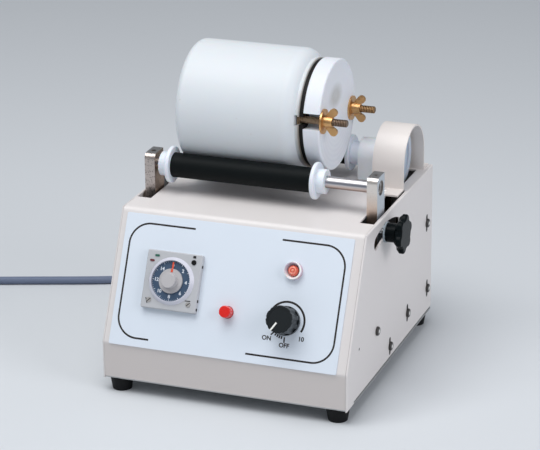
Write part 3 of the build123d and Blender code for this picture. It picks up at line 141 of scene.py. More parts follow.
class Finish:
    def __init__(self, name):
        self.material = bpy.data.materials.new(name)
        self.material.use_nodes = True
        self.tree = self.material.node_tree
        self.tree.nodes.clear()
        self.place = self.add("ShaderNodeTexCoord", {}, {}, "Object")

    def add(self, kind, settings, sockets, output=0):
        node = self.tree.nodes.new(kind)
        for setting, value in settings.items():
            if setting == "stops":
                ramp = node.color_ramp.elements
                while len(ramp) < len(value):
                    ramp.new(0.5)
                for stop, (at, colour) in zip(ramp, value):
                    stop.position = at
                    stop.color = colour
            else:
                setattr(node, setting, value)
        for socket, value in sockets.items():
            if isinstance(value, Wire):
                self.tree.links.new(value.socket, node.inputs[socket])
            else:
                node.inputs[socket].default_value = value
        return Wire(self, node.outputs[output]) if node.outputs else None

    def noise(self, scale, detail, stretch=(1, 1, 1)):
        place = self.add("ShaderNodeMapping", {}, {"Vector": self.place, "Scale": stretch})
        sockets = {"Vector": place, "Scale": scale, "Detail": detail}
        return self.add("ShaderNodeTexNoise", {}, sockets)

    def axes(self, centre=(0, 0, 0)):
        moved = self.add("ShaderNodeVectorMath", {"operation": "SUBTRACT"},
                         {0: self.place, 1: [value * mm for value in centre]})
        return [self.add("ShaderNodeSeparateXYZ", {}, {"Vector": moved}, i) for i in range(3)]

    def normals(self):
        facing = self.add("ShaderNodeTexCoord", {}, {}, "Normal")
        return [self.add("ShaderNodeSeparateXYZ", {}, {"Vector": facing}, i) for i in range(3)]

    def onPanel(self, across, up):
        # how far a point lies across, up and out from a place on the panel
        foot = panelPoint(across, up, 0)
        moved = self.add("ShaderNodeVectorMath", {"operation": "SUBTRACT"},
                         {0: self.place, 1: foot})
        return [self.add("ShaderNodeVectorMath", {"operation": "DOT_PRODUCT"},
                         {0: moved, 1: way}, "Value")
                for way in (Vector((1, 0, 0)), panelUp, panelOut)]

    def fade(self, value, low, high):
        # 0 at low, 1 at high, straight between them
        sockets = {"Value": value, "From Min": low, "From Max": high}
        return self.add("ShaderNodeMapRange", {"clamp": True}, sockets)

    def mix(self, share, first, second):
        return self.add("ShaderNodeMix", {"data_type": "RGBA"}, {0: share, 6: first, 7: second}, 2)

    def bump(self, height, depth):
        return self.add("ShaderNodeBump", {}, {"Height": height, "Distance": depth})

    def shade(self, **values):
        sockets = {name.replace("_", " "): value for name, value in values.items()}
        shader = self.add("ShaderNodeBsdfPrincipled", {}, sockets)
        self.add("ShaderNodeOutputMaterial", {}, {"Surface": shader})
        return self.material


def paint(name, colour, shadow, peel=0.00004, rough=0.42, strip=None):
    finish = Finish(name)
    patches = finish.noise(9, 4)
    grain = finish.noise(900, 2)
    ripple = finish.noise(160, 3)
    base = finish.mix(patches * 0.35 + grain * 0.25, tint(colour), tint(shadow))
    if strip:  # painted shade: the upright strip under the panel is painted a shade darker, to offset the light that the pale floor throws on it
        foot = case["bend"] - case["stripShadeFade"]
        low = finish.fade(finish.axes()[2], case["bend"] * mm, foot * mm)
        base = finish.mix(low, base, tint(strip))
    normal = finish.bump(ripple + grain * 0.4, peel)
    return finish.shade(Base_Color=base, Roughness=rough + grain * 0.08 - 0.04, Normal=normal,
                        Coat_Weight=0.12, Coat_Roughness=0.3)


def steel(name, colour, stretch, rough=0.25, depth=0.00002):
    finish = Finish(name)
    lines = finish.noise(700, 4, stretch)
    clouds = finish.noise(45, 3)
    base = finish.mix(clouds * 0.4, tint(colour), tint("9A9894"))
    return finish.shade(Base_Color=base, Metallic=1.0, Normal=finish.bump(lines, depth),
                        Roughness=rough + lines * 0.14 + clouds * 0.06 - 0.08)


def plastic(name, colour, second, rough=0.38, depth=0.00002, coat=0.0, soft=0.0, gloss=0.5):
    finish = Finish(name)
    grain = finish.noise(1400, 2)
    clouds = finish.noise(30, 3)
    base = finish.mix(clouds * 0.5, tint(colour), tint(second))
    return finish.shade(Base_Color=base, Roughness=rough + grain * 0.08 - 0.04,
                        Normal=finish.bump(grain, depth), Coat_Weight=coat, Coat_Roughness=0.15,
                        Subsurface_Weight=soft, Subsurface_Scale=0.004, Specular_IOR_Level=gloss)


def rubber(name, colour, second, rough=0.55, depth=0.00005, stretch=(1, 1, 1), gloss=0.16):
    finish = Finish(name)
    grain = finish.noise(1100, 4, stretch)
    clouds = finish.noise(55, 3)
    base = finish.mix(grain * 0.5 + clouds * 0.3, tint(colour), tint(second))
    return finish.shade(Base_Color=base, Roughness=rough + grain * 0.14 - 0.07,
                        Normal=finish.bump(grain, depth), Specular_IOR_Level=gloss)


potAxis = (-85.65, 32.361, 211.618)


def glaze(finish, ripples, bright, dull):
    clouds = finish.noise(14, 3)
    grain = finish.noise(420, 3)
    specks = finish.noise(380, 1).above(0.79)
    base = finish.mix(clouds * 0.6, tint(bright), tint(dull))
    base = finish.mix(specks * 0.25, base, tint("B9B2A8"))
    return base, clouds, finish.bump(ripples + grain * 0.5, 0.00003)


def porcelain(name, base, clouds, normal, finish):
    return finish.shade(Base_Color=base, Roughness=0.42 + clouds * 0.1, Normal=normal,
                        Coat_Weight=0.06, Coat_Roughness=0.2, Subsurface_Weight=0.08,
                        Subsurface_Scale=0.003, Specular_IOR_Level=0.3)


# ring and mouth along the pot's axis from its closed end; the fades are heights in metres
potLip = {"ring": 103.5, "mouth": 107.3, "edge": 1.1, "paintedShadeTop": (0.018, 0.053),
          "darkerLow": (0.03, -0.012)}


def potGlaze(name):
    finish = Finish(name)
    x, y, z = finish.axes(potAxis)
    base, clouds, normal = glaze(finish, 0, "DCE1E4", "CFD5DC")
    # painted shade: the pot's top is painted a little greyer
    base = finish.mix(finish.fade(z, *potLip["paintedShadeTop"]) * 0.25, base, tint("CBD0D3"))
    # the neck band between the ring and the mouth is greyish beige, mottled, darker towards the
    # bottom and darker still at the mouth's edge
    stain = finish.noise(60, 4)
    low = finish.fade(z, *potLip["darkerLow"]) * 0.55 + 0.3
    neckBand = finish.fade(x, potLip["ring"] * mm, potLip["mouth"] * mm)
    base = finish.mix(neckBand * low * (stain * 0.5 + 0.9), base, tint("8F877A"))
    edge = finish.fade(x, (potLip["mouth"] - potLip["edge"]) * mm, potLip["mouth"] * mm)
    base = finish.mix(edge * 0.6, base, tint("6B6256"))
    return porcelain(name, base, clouds, normal, finish)


# a grey patch and turned rings on the lid, from the pot's axis; the face by its x; a painted shade
# on its top
lidMark = {"y": -5.0, "z": 17.5, "wide": 16.0, "high": 10.0, "face": 125.0, "rings": 1500,
           "facePatch": (1.2, 0.5), "paintedShadeTop": (0.018, 0.046), "turned": (0.004, -0.012)}


def lidGlaze(name):
    finish = Finish(name)
    x, y, z = finish.axes(potAxis)
    fromAxis = (y * y + z * z) ** 0.5
    turned = (fromAxis * lidMark["rings"]).wave() * 0.5
    base, clouds, normal = glaze(finish, turned, "E8EBF1", "DEE3EC")
    # painted shade: the lid's top is painted a little greyer
    base = finish.mix(finish.fade(z, *lidMark["paintedShadeTop"]) * 0.3, base, tint("CDD1D6"))
    face = x.above(lidMark["face"] * mm)
    wide = (y - lidMark["y"] * mm) / (lidMark["wide"] * mm)
    high = (z - lidMark["z"] * mm) / (lidMark["high"] * mm)
    facePatch = finish.fade((wide * wide + high * high) ** 0.5, *lidMark["facePatch"])
    grain = finish.noise(240, 4)
    base = finish.mix(face * facePatch * (grain * 0.35 + 0.5), base, tint("B5B3AF"))
    rings = (turned + 0.5) * finish.fade(z, *lidMark["turned"]) * face
    base = finish.mix(rings * 0.13, base, tint("C3C9D6"))
    return porcelain(name, base, clouds, normal, finish)


def brass(name, bright, dull, stain):
    finish = Finish(name)
    clouds = finish.noise(90, 4)
    stains = finish.noise(210, 3)
    base = finish.mix(clouds * 0.7, tint(bright), tint(dull))
    base = finish.mix(stains.above(0.6) * 0.35, base, tint(stain))
    return finish.shade(Base_Color=base, Metallic=1.0, Roughness=0.26 + clouds * 0.2,
                        Normal=finish.bump(stains, 0.00004))


# where the bolts' colour changes along the pot's axis, in metres, and turns of thread a metre
boltBands = {"notch": (0.1245, 0.1235), "pot": (0.1075, 0.1035), "thread": 700}


def boltBrass(name):
    # the front bolt is browner than the rear one; dark stripes in the thread's valleys and a dark
    # band inside the pot's ring are painted shade, and in the lid's notch both bolts are painted
    # paler and less metallic, as painted light
    finish = Finish(name)
    x, y, z = finish.axes(potAxis)
    clouds = finish.noise(120, 4)
    turns = (x * (2 * pi * boltBands["thread"])).wave()
    front = y.below(0)
    base = finish.mix(front, tint("CBA476"), tint("A18E7E"))
    base = finish.mix(clouds * 0.5, base, tint("5E4632"))
    base = finish.mix((turns * -0.5 + 0.5) * 0.75, base, tint("2A1F17"))
    notchPaintedLight = finish.fade(x, *boltBands["notch"])
    base = finish.mix(notchPaintedLight * 0.8, base, tint("A88E70"))
    base = finish.mix(finish.fade(x, *boltBands["pot"]), base, tint("7C6244"))
    return finish.shade(Base_Color=base, Metallic=1 - notchPaintedLight * 0.7, Roughness=0.3 + clouds * 0.2,
                        Normal=finish.bump(turns, 0.0002))


# screws of both side plates, back from the case's front and up; the crown carries a painted
# highlight up to one radius and a painted dark reflection from the other
sideScrews = {"slotted": [(214.83, 97.57), (217.6, 35.93), (160.08, 35.13), (111.57, 24.3)],
              "round": [(75.77, 52.38)], "plates": 104.0, "bright": 1.1, "dark": 1.9}


def screwHead(name):
    # on the side plates a painted highlight on the crown with a painted dark reflection round it,
    # bare steel elsewhere
    finish = Finish(name)
    x, y, z = finish.axes((case["x"], case["front"], 0))
    distances = [((y - back * mm) * (y - back * mm) + (z - up * mm) * (z - up * mm)) ** 0.5
                 for back, up in sideScrews["slotted"] + sideScrews["round"]]
    away = distances[0]
    for distance in distances[1:]:
        away = away.least(distance)
    onPlate = x.size().above(sideScrews["plates"] * mm)
    ring = onPlate * finish.fade(away, sideScrews["bright"] * mm, sideScrews["dark"] * mm)
    clouds = finish.noise(300, 3)
    base = finish.mix(ring, tint("FFFDFA"), tint("242120"))
    base = finish.mix(clouds * 0.12, base, tint("8B8783"))
    return finish.shade(Base_Color=base, Metallic=0.6 - ring * 0.6, Roughness=0.24 + clouds * 0.1)


# painted reflections and shade, each fade by the way that the surface faces: upwards, or along the
# axle for its ends
axleLightFades = {"under": (0.15, -0.7), "bandFoot": (-0.1, 0.25), "bandTop": (0.6, 0.3),
             "top": (0.5, 0.85), "ends": (0.8, 0.95)}


def axleSteel(name):
    # turned bar with painted reflections: pale, warm underneath, a cool band above the middle and
    # grey on top; painted shade at its ends
    finish = Finish(name)
    nx, ny, nz = finish.normals()
    lines = finish.noise(900, 2, (0.01, 1, 1))
    base = finish.mix(finish.fade(nz, *axleLightFades["under"]), tint("D9D8D8"), tint("A88F84"))
    band = finish.fade(nz, *axleLightFades["bandFoot"]) * finish.fade(nz, *axleLightFades["bandTop"])
    base = finish.mix(band, base, tint("9A9CA8"))
    base = finish.mix(finish.fade(nz, *axleLightFades["top"]), base, tint("B4B3B5"))
    base = finish.mix(finish.fade(nx.size(), *axleLightFades["ends"]), base, tint("4C4644"))
    return finish.shade(Base_Color=base, Metallic=1.0, Roughness=0.33 + lines * 0.06,
                        Normal=finish.bump(lines, 0.000006))


# painted reflections: 'foot' is a height above 'middle', in metres; side and top by the way the
# surface faces
armLightFades = {"middle": 150, "foot": (0.018, -0.004), "side": (0.6, 0.9), "top": (0.8, 0.95)}


def armSteel(name):
    # plated bar with painted reflections: warm front, darker and warmer towards the case, cool
    # sides on the right arm and tan ones on the left, grey top; dark specks, more on the left arm,
    # whose front is greyer
    finish = Finish(name)
    nx, ny, nz = finish.normals()
    x, y, z = finish.axes((0, 0, armLightFades["middle"]))
    lines = finish.noise(700, 4, (1, 1, 0.06))
    clouds = finish.noise(45, 3)
    pits = finish.noise(800, 3).above(0.6)
    left = x.below(0)
    base = finish.mix(finish.fade(z, *armLightFades["foot"]), tint("F0E9E2"), tint("D8BFAC"))
    base = finish.mix(left, base, tint("C9BEB8"))
    side = finish.mix(left, tint("D6DDE4"), tint("B39D8B"))
    base = finish.mix(finish.fade(nx.size(), *armLightFades["side"]), base, side)
    base = finish.mix(finish.fade(nz, *armLightFades["top"]), base, tint("B2B1B0"))
    base = finish.mix(clouds * 0.15 + pits * (left * 0.5 + 0.08), base, tint("5D5650"))
    return finish.shade(Base_Color=base, Metallic=1.0, Normal=finish.bump(lines, 0.00001),
                        Roughness=0.24 + lines * 0.1 + clouds * 0.06)


# the pilot lamp, and the point between the timer's two indicators; the fades in metres
lamp = {"across": 50.0, "up": 77.2, "inner": 6.95, "rim": 7.35, "rings": 3000,
        "shade": (-0.006, 0.008), "wallShade": (-0.004, 0.007), "lensEdge": (0.0032, 0.0045),
        "indicators": (-68.25, 73.3)}


def lampBezel(name):
    # clear rim; inside painted pale, with painted shade in grey-lilac at its upper left, and
    # painted lilac shade on the right of the outer wall
    finish = Finish(name)
    across, up, out = finish.onPanel(lamp["across"], lamp["up"])
    fromMiddle = (across * across + up * up) ** 0.5
    inside = fromMiddle.below(lamp["inner"] * mm)
    shade = finish.fade(up - across, *lamp["shade"])
    base = finish.mix(shade, tint("FBF6F4"), tint("BDBBCB"))
    wallShade = finish.mix(finish.fade(across, *lamp["wallShade"]), tint("E6E4EA"), tint("C9A9B6"))
    base = finish.mix(inside, wallShade, base)
    rim = fromMiddle.above(lamp["inner"] * mm) * fromMiddle.below(lamp["rim"] * mm)
    base = finish.mix(rim, base, tint("F2F0F0"))
    return finish.shade(Base_Color=base, Roughness=0.14 + shade * 0.04, Coat_Weight=0.5,
                        Subsurface_Weight=0.15, Subsurface_Scale=0.003)


def lampLens(name):
    # rings moulded into the lens
    finish = Finish(name)
    across, up, out = finish.onPanel(lamp["across"], lamp["up"])
    fromMiddle = (across * across + up * up) ** 0.5
    rings = (fromMiddle * lamp["rings"]).wave()
    base = finish.mix(rings * 0.5 + 0.5, tint("D84E3A"), tint("F49C82"))
    base = finish.mix(finish.fade(fromMiddle, *lamp["lensEdge"]), base, tint("E2654C"))
    return finish.shade(Base_Color=base, Roughness=0.12 + rings * 0.02, Coat_Weight=0.6,
                        Normal=finish.bump(rings, 0.0002), Subsurface_Weight=0.1,
                        Subsurface_Scale=0.003)


def indicatorGlow(name):
    # green on the right, dark red on the left
    finish = Finish(name)
    across, up, out = finish.onPanel(*lamp["indicators"])
    grain = finish.noise(900, 2)
    base = finish.mix(across.above(0), tint("6A2E33"), tint("2A6150"))
    return finish.shade(Base_Color=base, Roughness=0.3 + grain * 0.06)


def labelFilm(name):
    finish = Finish(name)
    grain = finish.noise(1700, 2)
    clouds = finish.noise(12, 3)
    base = finish.mix(clouds * 0.5, tint("DEE7F1"), tint("D3DCE8"))
    return finish.shade(Base_Color=base, Roughness=0.36 + grain * 0.08,
                        Normal=finish.bump(grain, 0.00001), Coat_Weight=0.15,
                        Coat_Roughness=0.25)


def plain(name, colour, rough, second=None):
    finish = Finish(name)
    grain = finish.noise(900, 2)
    base = finish.mix(grain * 0.3, tint(colour), tint(second or colour))
    return finish.shade(Base_Color=base, Roughness=rough + grain * 0.06)


boardTop = 24.3


def circuitBoard(name):
    # green board with its tracks, dark components above it
    finish = Finish(name)
    x, y, z = finish.axes((0, 0, boardTop))
    raised = z.above(0)
    tracks = finish.noise(260, 1, (1, 0.2, 1)).above(0.52)
    base = finish.mix(tracks * 0.4, tint("1C5A38"), tint("2C7A50"))
    base = finish.mix(raised, base, tint("2A2B2E"))
    return finish.shade(Base_Color=base, Roughness=0.4 + tracks * 0.1)


finishes = {
    "case_paint": paint("casePaint", "DFDBD9", "D7D1D1"),
    "tray_steel": steel("traySteel", "B8BABB", (1, 0.05, 1), 0.35),
    "screw_steel": screwHead("screwSteel"),
    "screw_dark": steel("screwDark", "3A3A3C", (1, 1, 1), 0.35),
    "foot_rubber": rubber("footRubber", "0E0F10", "17181A"),
    "label_plate": labelFilm("labelFilm"),
    "timer_plastic": plastic("timerPlastic", "BBBDC1", "B1B3B7", 0.45),
    "timer_ring": plastic("timerRing", "D2D3DE", "C6C7D4", 0.3),
    "timer_dial": plastic("timerDial", "465A72", "3E5068", 0.35, gloss=0.3),
    "timer_knob": plastic("timerKnob", "BBB9BB", "B1AFB1", 0.35),
    "timer_pointer": plain("timerPointer", "E2583C", 0.3, second="D34A34"),
    "timer_indicators": indicatorGlow("timerIndicators"),
    "selector_plastic": plastic("selectorPlastic", "A5A3A1", "999795", 0.4),
    "switch_black": plastic("switchBlack", "121214", "1A1A1C", 0.4, gloss=0.3),
    "button_red": plastic("buttonRed", "DF2019", "D11B16", 0.26, coat=0.2, soft=0.1),
    "lamp_bezel": lampBezel("lampBezel"),
    "lamp_lens": lampLens("lampLens"),
    "bright_steel": steel("brightSteel", "D6D6D6", (0.06, 1, 1), 0.22, 0.00001),
    "arm_steel": armSteel("armSteel"),
    "knob_black": plastic("knobBlack", "14191C", "1B2124", 0.3, gloss=0.42),
    "bush_plastic": plastic("bushPlastic", "E4EAF2", "DBE2EC", 0.38, soft=0.15, gloss=0.4),
    "core_steel": steel("coreSteel", "A9A8A5", (0.06, 1, 1), 0.35),
    "roller_rubber": rubber("rollerRubber", "0C1011", "161A1B", 0.5, 0.00004, (0.3, 1, 1), 0.08),
    "block_plastic": plastic("blockPlastic", "F6FAFF", "EFF5FD", 0.36, soft=0.15),
    "bearing_bronze": brass("bearingBronze", "C79A62", "9A7040", "5E4226"),
    "pulley_plastic": plastic("pulleyPlastic", "C3CEDA", "B4C0CD", 0.36, soft=0.15),
    "cover_steel": paint("coverPaint", "E2DCD8", "D9D2CE"),
    "belt_rubber": rubber("beltRubber", "2A2118", "35291D", 0.6),
    "motor_paint": paint("motorPaint", "2D2F31", "37393B", 0.00006, 0.5),
    "board_resin": circuitBoard("boardResin"),
    "porcelain": potGlaze("potGlaze"),
    "gasket_rubber": rubber("gasketRubber", "171616", "211F1E"),
    "bolt_brass": brass("nutBrass", "E2B680", "AC8152", "664830"),
    "cord_jacket": rubber("cordJacket", "69748A", "77829A", 0.45, 0.00002),
    "cord_plastic": plastic("cordPlastic", "26292D", "2E3136", 0.45),
}
# the rear bushes are a paler copy of the bushes' plastic, painted light where the pot and the
# cover shade them
nodeFinishes = {"rear_roller_bushes": plastic("rearBushPaintedLight", "EEF4FF", "E8F0FC", 0.35, soft=0.15),
                "pot_bolts": boltBrass("boltBrass"), "lid": lidGlaze("lidGlaze"),
                "front_axle": axleSteel("axleSteel"), "mode_selector": finishes["switch_black"],
                "clamp_washer": plastic("washerGrey", "A9B6BE", "99A6AE", 0.3),
                "clamp_knob": plastic("clampBlack", "0C1113", "12181A", 0.22, gloss=0.05),
                "case_cover": paint("coverSheet", "DFDBD9", "D7D1D1", strip="D2CBC8")}
for row in frame["record"]["subparts"]:
    node = row["node"]
    finish = nodeFinishes.get(node) or finishes[row["material_slot"]]
    piece = cadNodes[node]
    if not piece.material_slots:
        piece.data.materials.append(finish)
    for place in piece.material_slots:
        place.material = finish
print("finishes set on", len(cadNodes), "nodes")


def newPiece(name, body, points, faces, finish):
    shape = bpy.data.meshes.new(name)
    shape.from_pydata([tuple(point) for point in points], [], faces)
    work = bmesh.new()
    work.from_mesh(shape)
    bmesh.ops.recalc_face_normals(work, faces=work.faces)
    work.to_mesh(shape)
    work.free()
    piece = bpy.data.objects.new(name, shape)
    bpy.context.scene.collection.objects.link(piece)
    shape.materials.append(finish)
    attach(piece, body)
    return piece


def stripFaces(count):
    # faces of a flat strip with four points at each of its sections
    faces = []
    for a in range(0, 4 * count - 4, 4):
        faces += [(a + k, a + (k + 1) % 4, a + 4 + (k + 1) % 4, a + 4 + k) for k in range(4)]
    last = 4 * count
    return faces + [(0, 1, 2, 3), (last - 4, last - 3, last - 2, last - 1)]


def panelStrip(line, width, low, high):
    # a printed line on the panel: points across and up, in millimetres
    rows = []
    for i, (x, y) in enumerate(line):
        before = line[max(i - 1, 0)]
        after = line[min(i + 1, len(line) - 1)]
        dx, dy = after[0] - before[0], after[1] - before[1]
        reach = hypot(dx, dy)
        nx, ny = -dy / reach * width / 2, dx / reach * width / 2
        rows.append([panelPoint(x + nx, y + ny, low), panelPoint(x + nx, y + ny, high),
                     panelPoint(x - nx, y - ny, high), panelPoint(x - nx, y - ny, low)])
    return rows


def strips(name, lines, width, low, high, finish, slotName, body="case"):
    points, faces = [], []
    for line in lines:
        rows = panelStrip(line, width, low, high)
        start = len(points)
        points += [point for row in rows for point in row]
        faces += [tuple(start + k for k in face) for face in stripFaces(len(rows))]
    return newPiece(name, body, points, faces, finish)


def arcLine(cx, cy, radius, start, end, steps=24):
    turns = [radians(start + (end - start) * i / steps) for i in range(steps + 1)]
    return [(cx + radius * cos(turn), cy + radius * sin(turn)) for turn in turns]


letterType = {"thick": 0.03, "bolder": 0.03}  # millimetres, and a share of the size


def lettering(name, words, across, up, height, size, finish):
    text = bpy.data.curves.new(name, "FONT")
    text.body = words
    text.size = size * mm
    text.extrude = letterType["thick"] * mm
    text.offset = letterType["bolder"] * size * mm
    text.align_x = "CENTER"
    text.align_y = "CENTER"
    piece = bpy.data.objects.new(name, text)
    piece.matrix_world = Matrix.Translation(panelPoint(across, up, height)) @ panelTurn()
    bpy.context.scene.collection.objects.link(piece)
    text.materials.append(finish)
    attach(piece, "case")


# print on the panel, which stands a hair above the face plate
ink = plain("panelInk", "1C1614", 0.4, second="2A211E")
panelPrint = {"left": -94.7, "right": 92.0, "foot": 6.2, "top": 100.9, "corner": 17.5,
              "topGap": (-38.7, 36.8), "footGap": (-65.8, 19.0), "width": 1.5,
              "low": case["plate"] - 0.05, "high": case["plate"] + 0.05}


def panelOutline(p):
    left, right, foot, top, r = p["left"], p["right"], p["foot"], p["top"], p["corner"]
    first = [(p["topGap"][0], top)] + arcLine(left + r, top - r, r, 90, 180)
    first += arcLine(left + r, foot + r, r, 180, 270) + [(p["footGap"][0], foot)]
    second = [(p["topGap"][1], top)] + arcLine(right - r, top - r, r, 90, 0)
    second += arcLine(right - r, foot + r, r, 0, -90) + [(p["footGap"][1], foot)]
    return [first, second]


strips("panelOutline", panelOutline(panelPrint), panelPrint["width"], panelPrint["low"],
       panelPrint["high"], ink, "label_plate")

# scale round the speed knob: ticks and marks are a turn in degrees and two radii
speedPrint = {"across": 49.5, "up": 36.6, "arc": 15.4, "arcEnds": (146, -28.6), "arcSteps": 40,
              "arcWidth": 1.7, "ticks": [(228, 13.2, 16.9), (272, 13.2, 17.6)], "tickWidth": 1.15,
              "marks": [(turn, 12.6, 14.9) for turn in (238, 246, 254, 262)], "markWidth": 1.2,
              "low": case["plate"] - 0.05, "high": case["plate"] + 0.06,
              "words": [("wordOn", "ON", 35.0, 21.0), ("wordOff", "OFF", 50.5, 16.7),
                        ("speedTen", "10", 64.0, 23.5)],
              "wordHeight": case["plate"] + 0.04, "wordSize": 5.0}


def spokes(dial, rays):
    # lines that point at a dial's middle
    lines = []
    for turn, inner, outer in rays:
        c, s = cos(radians(turn)), sin(radians(turn))
        lines.append([(dial["across"] + reach * c, dial["up"] + reach * s)
                      for reach in (inner, outer)])
    return lines


def printSpeedScale(p):
    arc = arcLine(p["across"], p["up"], p["arc"], *p["arcEnds"], p["arcSteps"])
    for name, lines, width in (("speedArc", [arc], p["arcWidth"]),
                               ("speedTicks", spokes(p, p["ticks"]), p["tickWidth"]),
                               ("speedMarks", spokes(p, p["marks"]), p["markWidth"])):
        strips(name, lines, width, p["low"], p["high"], ink, "label_plate")
    for name, word, across, up in p["words"]:
        lettering(name, word, across, up, p["wordHeight"], p["wordSize"], ink)


printSpeedScale(speedPrint)

# print on the timer: ticks are two radii and a width
timer = {"across": -51.2, "up": 56.0, "face": 5.8, "dial": 6.3, "selector": 17.2,
         "longTick": (14.9, 16.5, 0.4), "shortTick": (15.7, 16.5, 0.22),
         "numbers": ("0", "2", "4", "6", "8", "10", "12", "14"), "numberRadius": 12.9,
         "numberSize": 3.9, "numberRise": 0.04, "print": 0.05}
dialInk = plain("dialInk", "E4EAF2", 0.4)


def dialTicks(name, turns, size):
    inner, outer, width = size
    lines = spokes(timer, [(turn, inner, outer) for turn in turns])
    strips(name, lines, width, timer["dial"] - timer["print"], timer["dial"] + timer["print"],
           dialInk, "timer_dial")


dialTicks("dialLongTicks", [90 - 30 * i for i in range(12)], timer["longTick"])
dialTicks("dialShortTicks", [90 - 6 * i for i in range(60) if i % 5], timer["shortTick"])
for i, number in enumerate(timer["numbers"]):
    turn = radians(90 - 45 * i)
    lettering("dialNumber" + number, number, timer["across"] + timer["numberRadius"] * cos(turn),
              timer["up"] + timer["numberRadius"] * sin(turn), timer["dial"] + timer["numberRise"],
              timer["numberSize"], dialInk)
shadow = plain("shadowBlack", "0C0B0B", 0.7, second="161414")
face = timer["face"]

# dark marks on the timer, from its middle
timerMarks = {"slotReach": 1.4, "slotWidth": 0.62, "slotSink": 0.06, "slotRise": 0.46,
              "arrows": [[(-20.1, -15.6), (-18.4, -20.1)], [(14.1, -14.5), (18.8, -14.3)]],
              "arrowWidth": 0.8, "window": [[(15.9, 21.7), (18.5, 21.7)]], "windowWidth": 2.1,
              "clips": (14.5, -13.5, -20.5), "clipSide": 24.0, "clipHalf": 1.1,
              "clipWidth": 0.3, "clipLow": 1.6, "clipHigh": 4.2}


def markOnTimer(name, lines, width, low, high, body="case"):
    x, y = timer["across"], timer["up"]
    placed = [[(x + right, y + up) for right, up in line] for line in lines]
    return strips(name, placed, width, low, high, shadow, "switch_black", body)


def markTimer(p):
    low, reach = -timer["selector"], p["slotReach"]
    for body, side in (("unit_selector", -1), ("range_selector", 1)):
        right = side * timer["selector"]
        slot = [(right - reach, low - reach), (right + reach, low + reach)]
        markOnTimer(body + "Slot", [slot], p["slotWidth"], face - p["slotSink"],
                    face + p["slotRise"], body)
    flat = (face - timer["print"], face + timer["print"])
    markOnTimer("selectorArrows", p["arrows"], p["arrowWidth"], *flat)
    markOnTimer("modeWindow", p["window"], p["windowWidth"], *flat)
    clips = [[(p["clipSide"], up - p["clipHalf"]), (p["clipSide"], up + p["clipHalf"])]
             for up in p["clips"]]
    markOnTimer("timerClips", clips, p["clipWidth"], p["clipLow"], p["clipHigh"])


markTimer(timerMarks)


def plates(name, outlines, place, low, high, finish):
    # flat plates: place makes a point of an outline's two measures and a height
    points, faces = [], []
    for outline in outlines:
        count, start = len(outline), len(points)
        for height in (low, high):
            points += [place(a, b, height) for a, b in outline]
        faces += [tuple(range(start, start + count)),
                  tuple(range(start + count, start + 2 * count))]
        for i in range(count):
            after = (i + 1) % count
            faces.append((start + i, start + after, start + count + after, start + count + i))
    return newPiece(name, "case", points, faces, finish)


# the timer's two indicators: small bars with round ends
indicators = {"places": [(-19.0, 15.1), (-15.1, 19.5)], "wide": 3.9, "high": 1.8, "rise": 0.5,
              "sink": 0.05, "steps": 8}


def indicatorOutlines(p):
    half = p["high"] / 2
    reach = p["wide"] / 2 - half
    turns = [radians(-90 + 180 * i / p["steps"]) for i in range(p["steps"] + 1)]
    outline = [(reach + half * cos(turn), half * sin(turn)) for turn in turns]
    outline += [(-right, -up) for right, up in outline]
    return [[(timer["across"] + right + dx, timer["up"] + up + dy) for dx, dy in outline]
            for right, up in p["places"]]


indicatorBars = plates("indicatorBars", indicatorOutlines(indicators), panelPoint,
                       face - indicators["sink"], face + indicators["rise"],
                       finishes["timer_indicators"])
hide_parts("timer_indicators")

# pointers: a ray, a width and two heights above the panel
pointers = {"tail": (90, 7.1, 9.9), "tailWidth": 1.9, "tailHeights": (7.9, 8.05),
            "line": (238, 3.4, 11.2), "lineWidth": 1.35, "lineHeights": (18.9, 19.46)}
strips("pointerTail", spokes(timer, [pointers["tail"]]), pointers["tailWidth"],
       *pointers["tailHeights"], finishes["timer_pointer"], "timer_pointer", "timer_knob")
print("panel and dial printed")

knobLine = plain("knobLine", "F1F1EC", 0.4)
strips("speedPointer", spokes(speedPrint, [pointers["line"]]), pointers["lineWidth"],
       *pointers["lineHeights"], knobLine, "knob_black", "speed_knob")

# painted shade: black sheets behind the screw slots and the small hole of both side plates stand
# in for the shade inside them
sideSlots = {"reach": 8.0, "half": 2.2, "shank": 2.35, "hole": (30.03, 55.05),
             "holeRadius": 1.2, "inset": 0.1, "thick": 0.8, "play": 0.02, "steps": 10,
             "holeStep": 20}


def slotHalf(side, p):
    # half of a rounded slot, from the screw's shank to its end
    half = p["half"] - p["play"]
    turns = [radians(180 * i / p["steps"]) for i in range(p["steps"] + 1)]
    ridge = [(half * cos(turn), side * (p["reach"] - p["half"] + half * sin(turn)))
             for turn in turns]
    return ridge + [(-half, side * p["shank"]), (half, side * p["shank"])]


def slotOutlines(p):
    outlines = [[(y + dy, z + dz) for dy, dz in slotHalf(side, p)]
                for y, z in sideScrews["slotted"] for side in (-1, 1)]
    radius = p["holeRadius"] - p["play"]
    turns = [radians(turn) for turn in range(0, 360, p["holeStep"])]
    outlines.append([(p["hole"][0] + radius * cos(turn), p["hole"][1] + radius * sin(turn))
                     for turn in turns])
    return outlines


def onSide(back, up, x):
    return Vector((x, case["front"] + back, up)) * mm


slotShades = slotOutlines(sideSlots)
for name, x in (("rightSlotShade", case["rightSide"] - sideSlots["inset"] - sideSlots["thick"]),
                ("leftSlotShade", case["leftSide"] + sideSlots["inset"])):
    plates(name, slotShades, onSide, x, x + sideSlots["thick"], shadow)

# mains lead
leadPlaces = [
    (50, 255, 32), (50, 287, 32), (33, 314, 21), (-2, 323, 9), (-42, 308, 3.6),
    (-98, 269, 3.55), (-178, 224.2, 3.55), (-294, 184, 3.55), (-352, 161.5, 3.55),
]
leadCoil = {"radius": 38.5, "pitch": 7.5, "layerTurns": 3, "start": 7.0, "end": 16.0,
            "steps": 12, "corner": 1.035, "tail": 0.4, "wire": 3.5}


